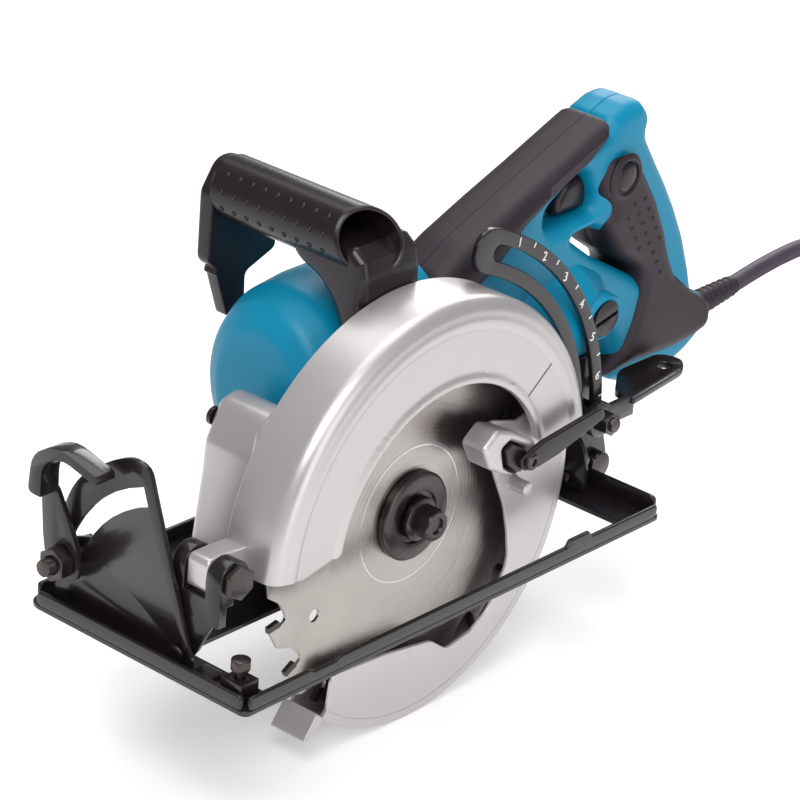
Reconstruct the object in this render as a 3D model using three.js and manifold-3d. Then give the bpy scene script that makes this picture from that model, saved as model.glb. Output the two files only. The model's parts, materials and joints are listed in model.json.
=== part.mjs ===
// Hand circular saw with a blade on its left side, a hypoid reduction gear and a D-shaped rear handle.
// Millimetres, +Z up, +X towards the rear handle, -Y towards the blade side.
// Shapes are worked out with y = 0 in the blade's plane, x = 0 at the arbor and z = 0 under the sole.
// The whole saw is then moved along Y, so that the origin is a point on the sole's underside.
import * as THREE from "three";
import { mergeVertices } from "three/addons/utils/BufferGeometryUtils.js";
import Module from "manifold-3d";

const wasm = await Module();
wasm.setup();

// Driving dimensions
const SOLE_POINT_Y = 60;
const GAP = 0.3;
const ARBOR_Z = 34;
const BLADE_R = 95;
const BLADE_HALF = 0.9;
const TEETH = 20;
const FLANGE_R = 21.5;
const SPINDLE_R = 8;
const CASE_R = 108;
const CASE_WALL = 2.5;
const CASE_NEAR_Y = -18;
const CASE_FAR_Y = 13;
const WINDOW_R = 69;
const GUARD_R = 100.8;
const GUARD_WALL = 1.6;
const GUARD_NEAR_Y = -10.8;
const GUARD_FAR_Y = 9.6;
const SOLE = { x0: -145.4, x1: 141.2, y0: -39.8, y1: 94.4, t: 2.5 };
const BLADE_SLOT = { x0: -125, x1: 119, y0: -33, y1: 17.5 };
const TILT_PIVOT = { x: -122, z: 45 };
const GUIDE_PIN = { x: 149, z: 9 };
const CLAMP_BOLT = { x: 140, z: 38 };
const DEPTH_TRAVEL = 28;
const GUIDE_RATIO = 0.69;
const BEVEL_AXIS = { y: 10, z: 7 };
const HANDLE_MID_Y = 44;
const LOCK_AT = { x: 173.8, z: 146.8 };
const MOTOR_TILT = 12;
const MOTOR_END = 13;
const MOTOR_AT = new THREE.Vector3(155, HANDLE_MID_Y, 84);
const MOTOR_R = 30.4;
const MOTOR_REAR_R = 21;
const COVER = { y: 60, z: 84, r: 50, flatten: 0.84, x1: 46 };
const GUIDE_HALF = 11;
const GRIP_AT = { x: -15.3, z: 163.6, r: 15.2, y0: 20.8, y1: 110 };
const FLOOR_Z = ARBOR_Z - GUARD_R;
const CORD_D = 9;
const COIL_R = 50;
const RING_TEETH = 43;
const PINION_TEETH = 8;

const degrees = Math.PI / 180;

// Finishes
const silver = new THREE.MeshStandardMaterial({ color: 0xc4bfbe, roughness: 0.42, metalness: 0.6 });
const teal = new THREE.MeshStandardMaterial({ color: 0x0087af, roughness: 0.45, metalness: 0 });
const rubber = new THREE.MeshStandardMaterial({ color: 0x2c2329, roughness: 0.6, metalness: 0 });
const blackPlastic = new THREE.MeshStandardMaterial({ color: 0x121013, roughness: 0.35, metalness: 0 });
const blackSteel = new THREE.MeshStandardMaterial({ color: 0x17130f, roughness: 0.3, metalness: 0.5 });
const bladeSteel = new THREE.MeshStandardMaterial({ color: 0x8d8580, roughness: 0.28, metalness: 1 });
const darkSteel = new THREE.MeshStandardMaterial({ color: 0x4a4440, roughness: 0.3, metalness: 1 });
const brightSteel = new THREE.MeshStandardMaterial({ color: 0xb8b8ba, roughness: 0.3, metalness: 1 });
const copper = new THREE.MeshStandardMaterial({ color: 0xb26a3c, roughness: 0.4, metalness: 0.9 });
const cordRubber = new THREE.MeshStandardMaterial({ color: 0x3a2f3d, roughness: 0.65, metalness: 0 });

// ---- Solids: joining and cutting ----

function toSolid(geometry) {
  const bare = geometry.clone();
  bare.deleteAttribute("normal");
  bare.deleteAttribute("uv");
  const merged = mergeVertices(bare, 1e-3);
  const corners = merged.index.array;
  const kept = [];
  for (let i = 0; i < corners.length; i += 3) {
    const [a, b, c] = [corners[i], corners[i + 1], corners[i + 2]];
    if (a !== b && b !== c && c !== a) kept.push(a, b, c);
  }
  const vertProperties = merged.attributes.position.array;
  return new wasm.Manifold(new wasm.Mesh({ numProp: 3, vertProperties, triVerts: Uint32Array.from(kept) }));
}

function toGeometry(solid) {
  const mesh = solid.getMesh();
  const geometry = new THREE.BufferGeometry();
  geometry.setAttribute("position", new THREE.BufferAttribute(mesh.vertProperties, 3));
  geometry.setIndex(new THREE.BufferAttribute(mesh.triVerts, 1));
  geometry.computeVertexNormals();
  return geometry;
}

function join(...shapes) {
  return toGeometry(shapes.map(toSolid).reduce((sum, next) => sum.add(next)));
}

function cut(shape, ...tools) {
  return toGeometry(tools.map(toSolid).reduce((rest, next) => rest.subtract(next), toSolid(shape)));
}

// ---- Basic shapes ----

// A closed outline through [u, v, radius] points, each corner rounded by its radius.
function outline(points) {
  const shape = new THREE.Shape();
  const count = points.length;
  points.forEach(([u, v, radius = 0], i) => {
    const at = new THREE.Vector2(u, v);
    const before = new THREE.Vector2(...points[(i + count - 1) % count].slice(0, 2)).sub(at);
    const after = new THREE.Vector2(...points[(i + 1) % count].slice(0, 2)).sub(at);
    const reach = Math.min(radius, before.length() * 0.45, after.length() * 0.45);
    const start = at.clone().addScaledVector(before.normalize(), reach);
    const end = at.clone().addScaledVector(after.normalize(), reach);
    if (i === 0) shape.moveTo(start.x, start.y);
    else shape.lineTo(start.x, start.y);
    if (reach > 0) shape.quadraticCurveTo(at.x, at.y, end.x, end.y);
  });
  shape.closePath();
  return shape;
}

function extrude(shape, depth, curveSegments = 4) {
  return new THREE.ExtrudeGeometry(shape, { depth, bevelEnabled: false, curveSegments });
}

// An outline in (x, z), given thickness from y0 to y1.
function sidePlate(shape, y0, y1, curveSegments) {
  return extrude(shape, y1 - y0, curveSegments).rotateX(Math.PI / 2).translate(0, y1, 0);
}

// An outline in (y, z), given thickness from x0 to x1.
function frontPlate(shape, x0, x1, curveSegments) {
  const turn = new THREE.Matrix4().makeBasis(
    new THREE.Vector3(0, 1, 0), new THREE.Vector3(0, 0, 1), new THREE.Vector3(1, 0, 0));
  return extrude(shape, x1 - x0, curveSegments).applyMatrix4(turn).translate(x0, 0, 0);
}

// An outline in (x, y), given thickness from z0 to z1.
function topPlate(shape, z0, z1, curveSegments) {
  return extrude(shape, z1 - z0, curveSegments).translate(0, 0, z0);
}

function block(x0, x1, y0, y1, z0, z1) {
  return new THREE.BoxGeometry(x1 - x0, y1 - y0, z1 - z0)
    .translate((x0 + x1) / 2, (y0 + y1) / 2, (z0 + z1) / 2);
}

// A round bar, or a cone, from point a to point b.
function bar(a, b, r0, r1 = r0, sides = 20) {
  const from = new THREE.Vector3(...a);
  const along = new THREE.Vector3(...b).sub(from);
  const geometry = new THREE.CylinderGeometry(r1, r0, along.length(), sides);
  const turn = new THREE.Quaternion().setFromUnitVectors(
    new THREE.Vector3(0, 1, 0), along.clone().normalize());
  const middle = from.addScaledVector(along, 0.5);
  return geometry.applyQuaternion(turn).translate(middle.x, middle.y, middle.z);
}

function barY(x, z, y0, y1, r, sides) {
  return bar([x, y0, z], [x, y1, z], r, r, sides);
}

function barX(y, z, x0, x1, r, sides) {
  return bar([x0, y, z], [x1, y, z], r, r, sides);
}

function ringY(x, z, y0, y1, r, bore, sides) {
  return cut(barY(x, z, y0, y1, r, sides), barY(x, z, y0 - 1, y1 + 1, bore, sides));
}

function ringX(y, z, x0, x1, r, bore, sides) {
  return cut(barX(y, z, x0, x1, r, sides), barX(y, z, x0 - 1, x1 + 1, bore, sides));
}

// A point on a circle round the arbor, with its angle measured from +X towards +Z.
function polar(r, angle, x = 0, z = ARBOR_Z) {
  return [x + r * Math.cos(angle * degrees), z + r * Math.sin(angle * degrees)];
}

// Points along a circular arc round the arbor.
function arc(r, from, to, steps, x, z) {
  return Array.from({ length: steps + 1 }, (_, i) => polar(r, from + ((to - from) * i) / steps, x, z));
}

const saw = new THREE.Group();
saw.position.y = -SOLE_POINT_Y;
const motor = new THREE.Group();
motor.position.copy(MOTOR_AT);
motor.rotation.y = -MOTOR_TILT * degrees;
saw.add(motor);

function add(name, geometry, finish, parent = saw) {
  const mesh = new THREE.Mesh(geometry, finish);
  mesh.name = name;
  parent.add(mesh);
}

// The motor's own frame has X along its shaft; this brings a shape from there into the saw's frame.
function fromMotor(geometry) {
  return geometry.rotateY(-MOTOR_TILT * degrees).translate(MOTOR_AT.x, MOTOR_AT.y, MOTOR_AT.z);
}

// ---- Blade and spindle ----

// Each tooth has a straight face on a radius, a sloping back and a round gullet.
function bladeOutline() {
  const points = [];
  const pitch = 360 / TEETH;
  for (let i = 0; i < TEETH; i += 1) {
    const tip = 180 - i * pitch;
    points.push(polar(BLADE_R, tip));
    points.push([...polar(BLADE_R - 12, tip + 1.5), 3]);
    points.push([...polar(BLADE_R - 9, tip - pitch * 0.35), 3]);
    points.push(polar(BLADE_R - 2.5, tip - pitch * 0.62));
  }
  return outline(points);
}

function addBladeShaft() {
  const bore = SPINDLE_R + GAP;
  const disc = sidePlate(bladeOutline(), -BLADE_HALF, BLADE_HALF, 2);
  add("saw_blade", cut(disc, barY(0, ARBOR_Z, -2, 2, bore)), bladeSteel);
  add("inner_flange", ringY(0, ARBOR_Z, 1.2, 6, FLANGE_R, bore), darkSteel);
  add("outer_flange", ringY(0, ARBOR_Z, -5.8, -1.2, FLANGE_R, 4.5), darkSteel);
  const bolt = join(
    barY(0, ARBOR_Z, -17.9, -9, 8, 6), barY(0, ARBOR_Z, -9.2, -6.1, 10.5),
      barY(0, ARBOR_Z, -6.3, 13, 4, 12));
  add("arbor_bolt", bolt, darkSteel);
  const spindle = cut(barY(0, ARBOR_Z, -0.6, 67, SPINDLE_R), barY(0, ARBOR_Z, -2, 14, 4.4, 12));
  add("spindle", spindle, brightSteel);
  add("ring_gear", ringGear(bore), darkSteel);
}

function ringGear(bore) {
  const points = [];
  for (let i = 0; i < RING_TEETH; i += 1) {
    const at = (i * 360) / RING_TEETH;
    const pitch = 360 / RING_TEETH;
    points.push(polar(28, at), polar(28, at + pitch * 0.45), polar(25.5, at + pitch * 0.55));
    points.push(polar(25.5, at + pitch * 0.95));
  }
  const wheel = join(sidePlate(outline(points), 28, 35.5), barY(0, ARBOR_Z, 25, 28.2, 15));
  return cut(wheel, barY(0, ARBOR_Z, 20, 40, bore));
}

function addBearings() {
  add("spindle_bearing_near", ringY(0, ARBOR_Z, 7.2, 18, 17.5, SPINDLE_R + GAP), brightSteel);
  add("spindle_bearing_far", ringY(0, ARBOR_Z, 58, 66, 11, SPINDLE_R + GAP, 20), brightSteel);
}

// ---- Upper blade case ----

function caseOutline() {
  return outline([
    ...arc(CASE_R, 13, 177, 22),
    [-103.4, 39.6], [-89.3, 37.2, 4], [-70.4, 40.5, 4], [-61.2, 44.7, 3], [-62.5, 52],
    ...arc(WINDOW_R - 6, 160, 28, 8, 2.1, ARBOR_Z - 1),
    [68.7, 55.4], [76.8, 49.2, 3], [86.3, 55.1],
  ]);
}

function addBladeCase() {
  const shell = cut(
    sidePlate(outline([...arc(CASE_R, 13, 177, 22), [-104, 38], [-60, 40], [0, 80], [60, 60], [80, 49]]),
      CASE_NEAR_Y + CASE_WALL, CASE_FAR_Y),
    sidePlate(outline([...arc(CASE_R - CASE_WALL, 5, 185, 22), [-90, -40], [90, -40]]),
      CASE_NEAR_Y, CASE_FAR_Y - 2.8));
  const cheek = cut(
    sidePlate(caseOutline(), CASE_NEAR_Y, CASE_NEAR_Y + CASE_WALL + 0.2),
    barY(2.1, ARBOR_Z - 1.1, -30, 0, WINDOW_R, 48));
  const farWall = cut(
    join(
      sidePlate(outline([...arc(CASE_R, 13, 177, 22), [-100, 30], [-26, 22], [26, 22], [90, 45]]),
        CASE_FAR_Y - 2.8, CASE_FAR_Y),
      barY(0, ARBOR_Z, CASE_FAR_Y - 2.8, CASE_FAR_Y, 30),
      barY(0, ARBOR_Z, CASE_FAR_Y - 6, CASE_FAR_Y, FLANGE_R)),
    barY(0, ARBOR_Z, 0, 20, 17.5 + GAP));
  const lug = join(
    block(TILT_PIVOT.x, -100, 1, CASE_FAR_Y, TILT_PIVOT.z - 7, TILT_PIVOT.z + 7),
    barY(TILT_PIVOT.x, TILT_PIVOT.z, 1, CASE_FAR_Y, 8));
  const solid = join(shell, cheek, farWall, lug);
  const clearOfGuard = barY(0, ARBOR_Z, -8, CASE_FAR_Y - 2.8, CASE_R - CASE_WALL, 60);
  const keep = cut(solid, clearOfGuard, barY(TILT_PIVOT.x, TILT_PIVOT.z, -2, 20, 4.3, 16));
  const boss = cut(barY(0, ARBOR_Z, 6.8, 11, FLANGE_R), barY(0, ARBOR_Z, 0, 20, 17.5 + GAP));
  add("blade_case", join(keep, boss), silver);
}

// ---- Lower guard, sprung, turning about the arbor ----

const GUARD_REAR = 24;
const GUARD_FRONT = -128;

function addLowerGuard() {
  const rim = sidePlate(
    outline([...arc(GUARD_R, GUARD_FRONT, GUARD_REAR, 30), ...arc(GUARD_R - GUARD_WALL, GUARD_REAR,
      GUARD_FRONT, 30)]),
    GUARD_NEAR_Y, GUARD_FAR_Y);
  const nearCheek = sidePlate(outline([
    ...arc(GUARD_R, GUARD_FRONT, GUARD_REAR, 30),
    [60, 66, 4], [40, 72, 6], [32, 62, 6], [40.9, 54.1], [48.6, 38.9], [56.4, 23.5], [60.5, 9.1],
    [63.5, -7.7, 8], [52.5, -28.8, 8], [40.4, -36.7, 5], [22.9, -39.9, 5], [11.3, -31.5, 6],
    [-20, -27, 6], [-56.9, -24.5, 4]]), GUARD_NEAR_Y, GUARD_NEAR_Y + GUARD_WALL);
  const farPlate = join(
    sidePlate(outline([
      ...arc(GUARD_R, GUARD_FRONT, GUARD_REAR, 30), [48, 62, 6], [22, 56], [-22, 12], [-36, -30, 6],
        [-52, -44, 4]]),
      GUARD_FAR_Y - GUARD_WALL, GUARD_FAR_Y),
    barY(0, ARBOR_Z, GUARD_FAR_Y - GUARD_WALL, GUARD_FAR_Y, 30));
  const lip = sidePlate(outline([polar(GUARD_R - 1.2, GUARD_FRONT + 1),
    polar(GUARD_R - 1.2, GUARD_FRONT - 3),
    [-73.5, -52.4, 2], [-71, -54.5, 2]]), GUARD_NEAR_Y, GUARD_FAR_Y);
  const lever = sidePlate(outline([
    [20.8, 67.5, 3], [30.4, 74.6, 3], [40.8, 70.9, 2], [59.6, 60.5, 2], [57.4, 50.5, 4], [48.4, 46.5, 4],
    [36, 51, 3], [26.6, 56, 4]]), -24, GUARD_NEAR_Y + 0.5);
  const pocket = sidePlate(outline([[34, 64], [40, 67], [54, 59], [52, 50], [46, 47], [37, 54]]), -30, -14);
  const boss = barY(61, 34, -20.5, GUARD_NEAR_Y + 0.5, 3.5, 16);
  const solid = join(rim, nearCheek, farPlate, lip, lever, boss);
  const hub = barY(0, ARBOR_Z, 5, 12, FLANGE_R + 0.4);
  add("lower_guard", cut(solid, hub, pocket), silver);
  const arm = join(
    sidePlate(outline([[36, 63], [41, 65], [52, 58.5], [50.5, 51], [46, 49], [38.5, 55]]), -24.4, -14.4),
    sidePlate(outline([[44, 56, 2], [103, 66, 3], [106, 60, 3], [58, 49, 3], [48, 50, 3]]), -27.4, -24.3));
  add("guard_lever", cut(arm, barY(51, 54.5, -30, -20, 2.4, 10)), blackPlastic);
  const screw = join(barY(51, 54.5, -30, -27.7, 4.2, 14), barY(51, 54.5, -27.8, -20.4, 2, 8));
  add("lever_screw", screw, darkSteel);
  add("guard_spring", ringY(0, ARBOR_Z, 6.4, 7.6, 27, 22.4), brightSteel);
}

// ---- Gear housing and front cover ----

function addGearHousing() {
  const body = sidePlate(outline([
    [-79, 20, 4], [-73, 56, 3], [-72.5, 71, 5], [-64, 89, 4], [-50.5, 92, 4], [-50.5, 77.7], [52, 77.7],
      [52, 22, 8], [30, 12, 8], [-30, 12, 8],
    [-60, 16, 6]]), CASE_FAR_Y + GAP, 62);
  const shoulder = sidePlate(outline([
    [-88, 56, 6], [-80, 92, 10], [-50, 110, 10], [0, 111, 8], [38, 98, 8], [52, 77], [-60, 60]]),
    CASE_FAR_Y + GAP, 24.7);
  const chamber = barY(0, ARBOR_Z, 23, 63, 20);
  const gearRoom = barY(0, ARBOR_Z, 24, 42, 29.5);
  const bearingSeat = barY(0, ARBOR_Z, 12, 18.3, 17.5 + GAP);
  const through = barY(0, ARBOR_Z, 12, 30, 12);
  const pinionTunnel = fromMotor(barX(0, 0, -175, -90, 15.5));
  const housing = cut(join(body, shoulder), chamber, gearRoom, bearingSeat, through, pinionTunnel);
  add("gear_housing", housing, silver);
  const cover = join(barY(0, ARBOR_Z, 62.3, 68, 26), barY(0, ARBOR_Z, 57, 62.5, 19.5));
  add("gear_cover", cut(cover, barY(0, ARBOR_Z, 50, 66.3, 11 + GAP), barY(0, ARBOR_Z, 60, 70, 8.6)),
    silver);
  const { y, z, r, flatten, x1 } = COVER;
  const dome = [[-42, 0], [-41, 28], [-36, 40], [-24, 47], [-5, r - 0.4], [10, r], [x1, r]];
  const room = [[-38, 0], [-37, 26], [-32, 36], [-21, 42.5], [-5, r - 4.5], [8, r - 4], [x1 + 1, r - 4],
    [x1 + 1, 0]];
  const turned = (profile) => new THREE.LatheGeometry(profile.map(([h,
    radius]) => new THREE.Vector2(radius, h)), 32)
    .rotateZ(-Math.PI / 2).scale(1, flatten, 1).translate(0, y, z);
  const shell = cut(turned([...dome, [x1, 0]]), turned(room),
    block(-90, 60, 0, 25.1, 0, 200), block(-90, 60, 0, 62.3, 0, 78.1), barY(0, ARBOR_Z, 50, 68.6, 26.6));
  add("front_cover", shell, teal);
}

// ---- Motor ----

function addMotor() {
  const shell = join(barX(0, 0, -102, -4, MOTOR_R, 28), bar([-4.2, 0, 0], [MOTOR_END, 0, 0],
    MOTOR_R, MOTOR_REAR_R, 28));
  const room = join(
    barX(0, 0, -110, -6, MOTOR_R - 3, 28), bar([-6.2, 0, 0], [MOTOR_END - 4.6, 0, 0],
      MOTOR_R - 3, MOTOR_REAR_R - 1, 28));
  const brushHoles = bar([-3, -40, 0], [-3, 40, 0], 8.3, 8.3, 16);
  const shaftEnd = barX(0, 0, 5, 11, 8.3, 16);
  add("motor_housing", cut(shell, room, brushHoles, shaftEnd), teal, motor);
  const stator = cut(barX(0, 0, -78, -22, MOTOR_R - 3.4, 24), barX(0, 0, -80, -20, 19.5, 20));
  add("stator", stator, darkSteel, motor);
  add("armature_core", ringX(0, 0, -74, -26, 18.6, 4.3, 20), copper, motor);
  add("commutator", ringX(0, 0, -14, 0, 11, 4.3, 20), copper, motor);
  add("cooling_fan", coolingFan(), blackPlastic, motor);
  const shaft = join(barX(0, 0, -125, 9.5, 4, 16), barX(0, 0, -109.7, -103, 6, 16), pinion());
  add("armature_shaft", shaft, brightSteel, motor);
  add("motor_bearing_rear", ringX(0, 0, 1.6, 8.1, 8, 4.3, 16), brightSteel, motor);
  add("motor_bearing_front", ringX(0, 0, -119, -110, 15, 4.3, 20), brightSteel, motor);
  for (const [name, side] of [["left", -1], ["right", 1]]) {
    const cap = join(
      bar([-3, side * 27.3, 0], [-3, side * (MOTOR_R + 1), 0], 8, 8, 20),
      bar([-3, side * (MOTOR_R + 0.6), 0], [-3, side * (MOTOR_R + 1.7), 0], 9, 9, 20));
    const slot = block(-11, 5, side * (MOTOR_R + 2) - 1.5, side * (MOTOR_R + 2) + 1.5, -1, 1);
    add(`brush_cap_${name}`, cut(cap, slot), blackPlastic, motor);
  }
}

function coolingFan() {
  const blades = [];
  for (let i = 0; i < 9; i += 1) {
    blades.push(block(-96, -86, -0.8, 0.8, 7, 24).rotateX((i * 2 * Math.PI) / 9));
  }
  return cut(join(barX(0, 0, -86.4, -84, 25, 24), barX(0, 0, -96, -84, 8, 16), ...blades),
    barX(0, 0, -100, -80, 4.3, 16));
}

function pinion() {
  const points = [];
  for (let i = 0; i < PINION_TEETH; i += 1) {
    const at = (i * 360) / PINION_TEETH;
    points.push(polar(7, at, 0, 0), polar(7, at + 15, 0, 0), polar(5.4, at + 22, 0, 0),
      polar(5.4, at + 38, 0, 0));
  }
  return frontPlate(outline(points), -151, -124);
}

// ---- Rear handle ----

// Bottom edge of the black spine, which the teal shell meets with a gap.
const SPINE_EDGE = [
  [166, 172, 3], [149.3, 160.5, 14], [133.8, 154.5, 24], [118.8, 147.5, 24], [104, 139.5, 20],
    [86, 124, 14], [62, 110]];

function handleOutline() {
  return outline([
    ...SPINE_EDGE.slice().reverse().map(([x, z, r]) => [x + GAP, z - GAP - 0.1, r]),
    [168, 177.5, 3], [187.5, 182, 12], [196, 172, 8], [193.5, 163, 8], [204.6, 147, 30], [215.8, 131.6, 30],
    [225.4, 116.7, 30], [234.4, 100.5, 30], [242.4, 81, 20], [247, 67, 8], [261, 57, 8], [261, 42, 8],
      [246, 33, 8],
    [228, 26, 10], [205, 26, 10], [186, 34, 8], [178, 60], [120, 75], [54, 70], [54, 106, 4]]);
}

function addRearHandle() {
  const fingerWindow = sidePlate(outline([
    [145.5, 155, 4], [130, 146.8, 20], [119.3, 140.5, 5], [121.5, 130.3, 5], [134, 129.2, 10],
      [156.5, 131, 4],
    [158.8, 137, 5], [152.5, 150.5, 5]]), 0, 90);
  const palmWindow = sidePlate(outline([
    [141, 121.5, 1], [159, 122.8, 3], [191, 105, 12], [213, 79, 2], [205, 83, 3], [163, 106, 8]]), 0, 90);
  const motorRoom = fromMotor(barX(0, 0, -130, MOTOR_END + GAP, MOTOR_R + GAP, 28));
  const coverRoom = barX(0, 0, -20, COVER.x1 + GAP, COVER.r + GAP, 32)
    .scale(1, COVER.flatten, 1).translate(0, COVER.y, COVER.z);
  const triggerRoom = block(149, 178, 36, 52, 129.8, 150.2);
  const buttonRoom = barY(LOCK_AT.x, LOCK_AT.z, 24, 40, 8 + GAP, 24);
  const cordRoom = bar([240, HANDLE_MID_Y, 46], [280, HANDLE_MID_Y, 46], 7.8, 7.8, 16);
  const switchRoom = block(180.6, 206.4, 34, 54, 114.6, 134.4);
  for (const [name, y0, y1] of [["left", 28, HANDLE_MID_Y - 0.15], ["right", HANDLE_MID_Y + 0.15, 60]]) {
    const half = cut(sidePlate(handleOutline(), y0, y1),
      fingerWindow, palmWindow, motorRoom, coverRoom, triggerRoom, buttonRoom, cordRoom, switchRoom);
    add(`handle_${name}`, half, teal);
    const spine = sidePlate(outline([
      [37, 118, 3], [48.3, 128, 10], [63.9, 137.5, 30], [93.3, 149.6, 30], [123.4, 161.2, 30],
        [146.2, 170.4, 30],
      [166, 178, 3], ...SPINE_EDGE]), name === "left" ? 25 : y0, name === "left" ? y1 : 63);
    add(`spine_grip_${name}`, cut(spine, fromMotor(barX(0, 0, -130, 30, MOTOR_R + GAP, 28)), coverRoom),
      rubber);
  }
  const padOutline = outline([
    [158.7, 146, 8], [163, 156, 8], [178, 157, 10], [191, 145, 14], [204.6, 126, 20], [214, 107, 20],
      [219, 94, 14],
    [228, 80, 10], [240, 66, 8], [244, 50, 8], [233, 43.5, 8], [201, 42.5, 10], [170, 40.5, 3],
      [187.6, 53, 8],
    [194, 66, 14], [200, 84, 14], [191, 103, 14], [168, 121, 10], [168, 131, 4], [160, 140, 10]]);
  add("grip_pad_left", cut(sidePlate(padOutline, 25, 28 - GAP), buttonRoom), rubber);
  add("grip_pad_right", sidePlate(padOutline, 60 + GAP, 63), rubber);
  const { x, z } = LOCK_AT;
  add("lock_button", join(barY(x, z, 24, 27, 8), barY(x, z, 26, 35, 5, 16)), blackPlastic);
  const trigger = join(
    sidePlate(outline([[152.5, 149.5, 3], [143, 147, 5], [135.8, 138, 4], [136.5, 131, 3],
      [160, 130.8, 1], [160, 148.5, 1]]),
      36.5, 51.5),
    block(159, 169, 38, 50, 133, 146));
  add("trigger", trigger, blackPlastic);
  add("switch_body", block(181, 206, 34.4, 53.6, 115, 134), blackPlastic);
}

// ---- Front handle ----

function addFrontHandle() {
  const { x, z, r, y0, y1 } = GRIP_AT;
  const nearLeg = sidePlate(outline([[x - r, z, 6], [x + r, z, 6], [16, 122, 4], [14, 112], [-20, 119],
    [-24, 130]]),
    15.5, 24.7);
  const farLeg = sidePlate(outline([
    [x - r, z, 6], [x + r, z, 6], [16, 127, 4], [-5, 119, 3], [-4, 98, 2], [-16, 100, 2], [-30.5, 130, 6]]),
    103.3, 112);
  const grip = cut(barY(x, z, y0, y1, r, 24), barY(x, z, y0 - 1, y0 + 14, r - 4, 20));
  add("front_handle", join(grip, cut(nearLeg, barY(x, z, 0, 30, r - 4, 24)), farLeg), blackPlastic);
}

// ---- Depth tilt: front link, rear link, guide and clamp ----

function rotated(x, z, angle) {
  const [c, s] = [Math.cos(angle * degrees), Math.sin(angle * degrees)];
  return [x * c - z * s, x * s + z * c];
}

// Where the clamp bolt lies in the guide's frame when the sole has dropped by an angle.
function slotPoint(angle) {
  const swung = rotated(CLAMP_BOLT.x - TILT_PIVOT.x, CLAMP_BOLT.z - TILT_PIVOT.z, angle);
  const fromPin = [TILT_PIVOT.x - GUIDE_PIN.x + swung[0], TILT_PIVOT.z - GUIDE_PIN.z + swung[1]];
  const [x, z] = rotated(fromPin[0], fromPin[1], GUIDE_RATIO * angle);
  return [GUIDE_PIN.x + x, GUIDE_PIN.z + z];
}

// A band of a given half-width along the clamp bolt's path.
function guideBand(from, to, half, steps = 14) {
  const middle = Array.from({ length: steps + 1 }, (_, i) => slotPoint(from + ((to - from) * i) / steps));
  const sides = middle.map(([x, z], i) => {
    const [a, b] = [middle[Math.max(i - 1, 0)], middle[Math.min(i + 1, steps)]];
    const length = Math.hypot(b[0] - a[0], b[1] - a[1]);
    return [x, z, (-(b[1] - a[1]) / length) * half, ((b[0] - a[0]) / length) * half];
  });
  const left = sides.map(([x, z, nx, nz]) => [x + nx, z + nz]);
  const right = sides.map(([x, z, nx, nz]) => [x - nx, z - nz]).reverse();
  return outline([...left, ...right]);
}

const GUIDE_Y = [8.6, 11.6];

function addDepthGuide() {
  const [y0, y1] = GUIDE_Y;
  const end = slotPoint(DEPTH_TRAVEL + 2);
  const band = join(
    sidePlate(guideBand(-0.5, DEPTH_TRAVEL + 2, GUIDE_HALF), y0, y1),
    barY(end[0], end[1], y0, y1, GUIDE_HALF),
    sidePlate(outline([[131, 40], [150.6, 42], [159.5, 10, 8], [156, 2.5, 6], [142, 3, 4], [141.6, 14],
      [135.6, 26]]), y0, y1));
  const slot = join(
    sidePlate(guideBand(-1, DEPTH_TRAVEL + 1, 4), y0 - 1, y1 + 1),
    barY(...slotPoint(-0.9), y0 - 1, y1 + 1, 4, 16),
    barY(...slotPoint(DEPTH_TRAVEL + 0.9), y0 - 1, y1 + 1, 4, 16));
  add("depth_guide", cut(band, slot, barY(GUIDE_PIN.x, GUIDE_PIN.z, y0 - 1, y1 + 1, 3.5, 12)), blackSteel);
}

function addDepthClamp() {
  const { x, z } = CLAMP_BOLT;
  const bolt = join(barY(x, z, -9, 18, 3.4, 16), barY(x, z, -7, -1, 6, 6), barY(x, z, 12.2, 15.6, 7.5, 6));
  add("depth_clamp_bolt", bolt, darkSteel);
  const boss = block(x - 6, x + 14, 16, 24, z - 6, z + 26);
  add("clamp_boss", cut(boss, barY(x, z, 15, 25, 3.7, 16), fromMotor(barX(0, 0, -130, 30, MOTOR_R + GAP,
    32))), blackSteel);
  const ring = ringY(x, z, -0.6, 4.3, 9, 3.9, 20);
  const arm = block(x + 8.2, x + 26, 0.4, 3.4, z - 5, z + 5.5);
  const paddle = topPlate(outline([
    [x + 22, -2, 2], [x + 70, 4, 6], [x + 79, 12, 8], [x + 75, 24, 8], [x + 42, 24, 6],
      [x + 22, 10, 3]]), z + 2, z + 5.5);
  const hole = bar([x + 65, 13, z], [x + 65, 13, z + 10], 4, 4, 12);
  add("depth_lever", cut(join(ring, arm, paddle), hole), blackSteel);
}

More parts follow.
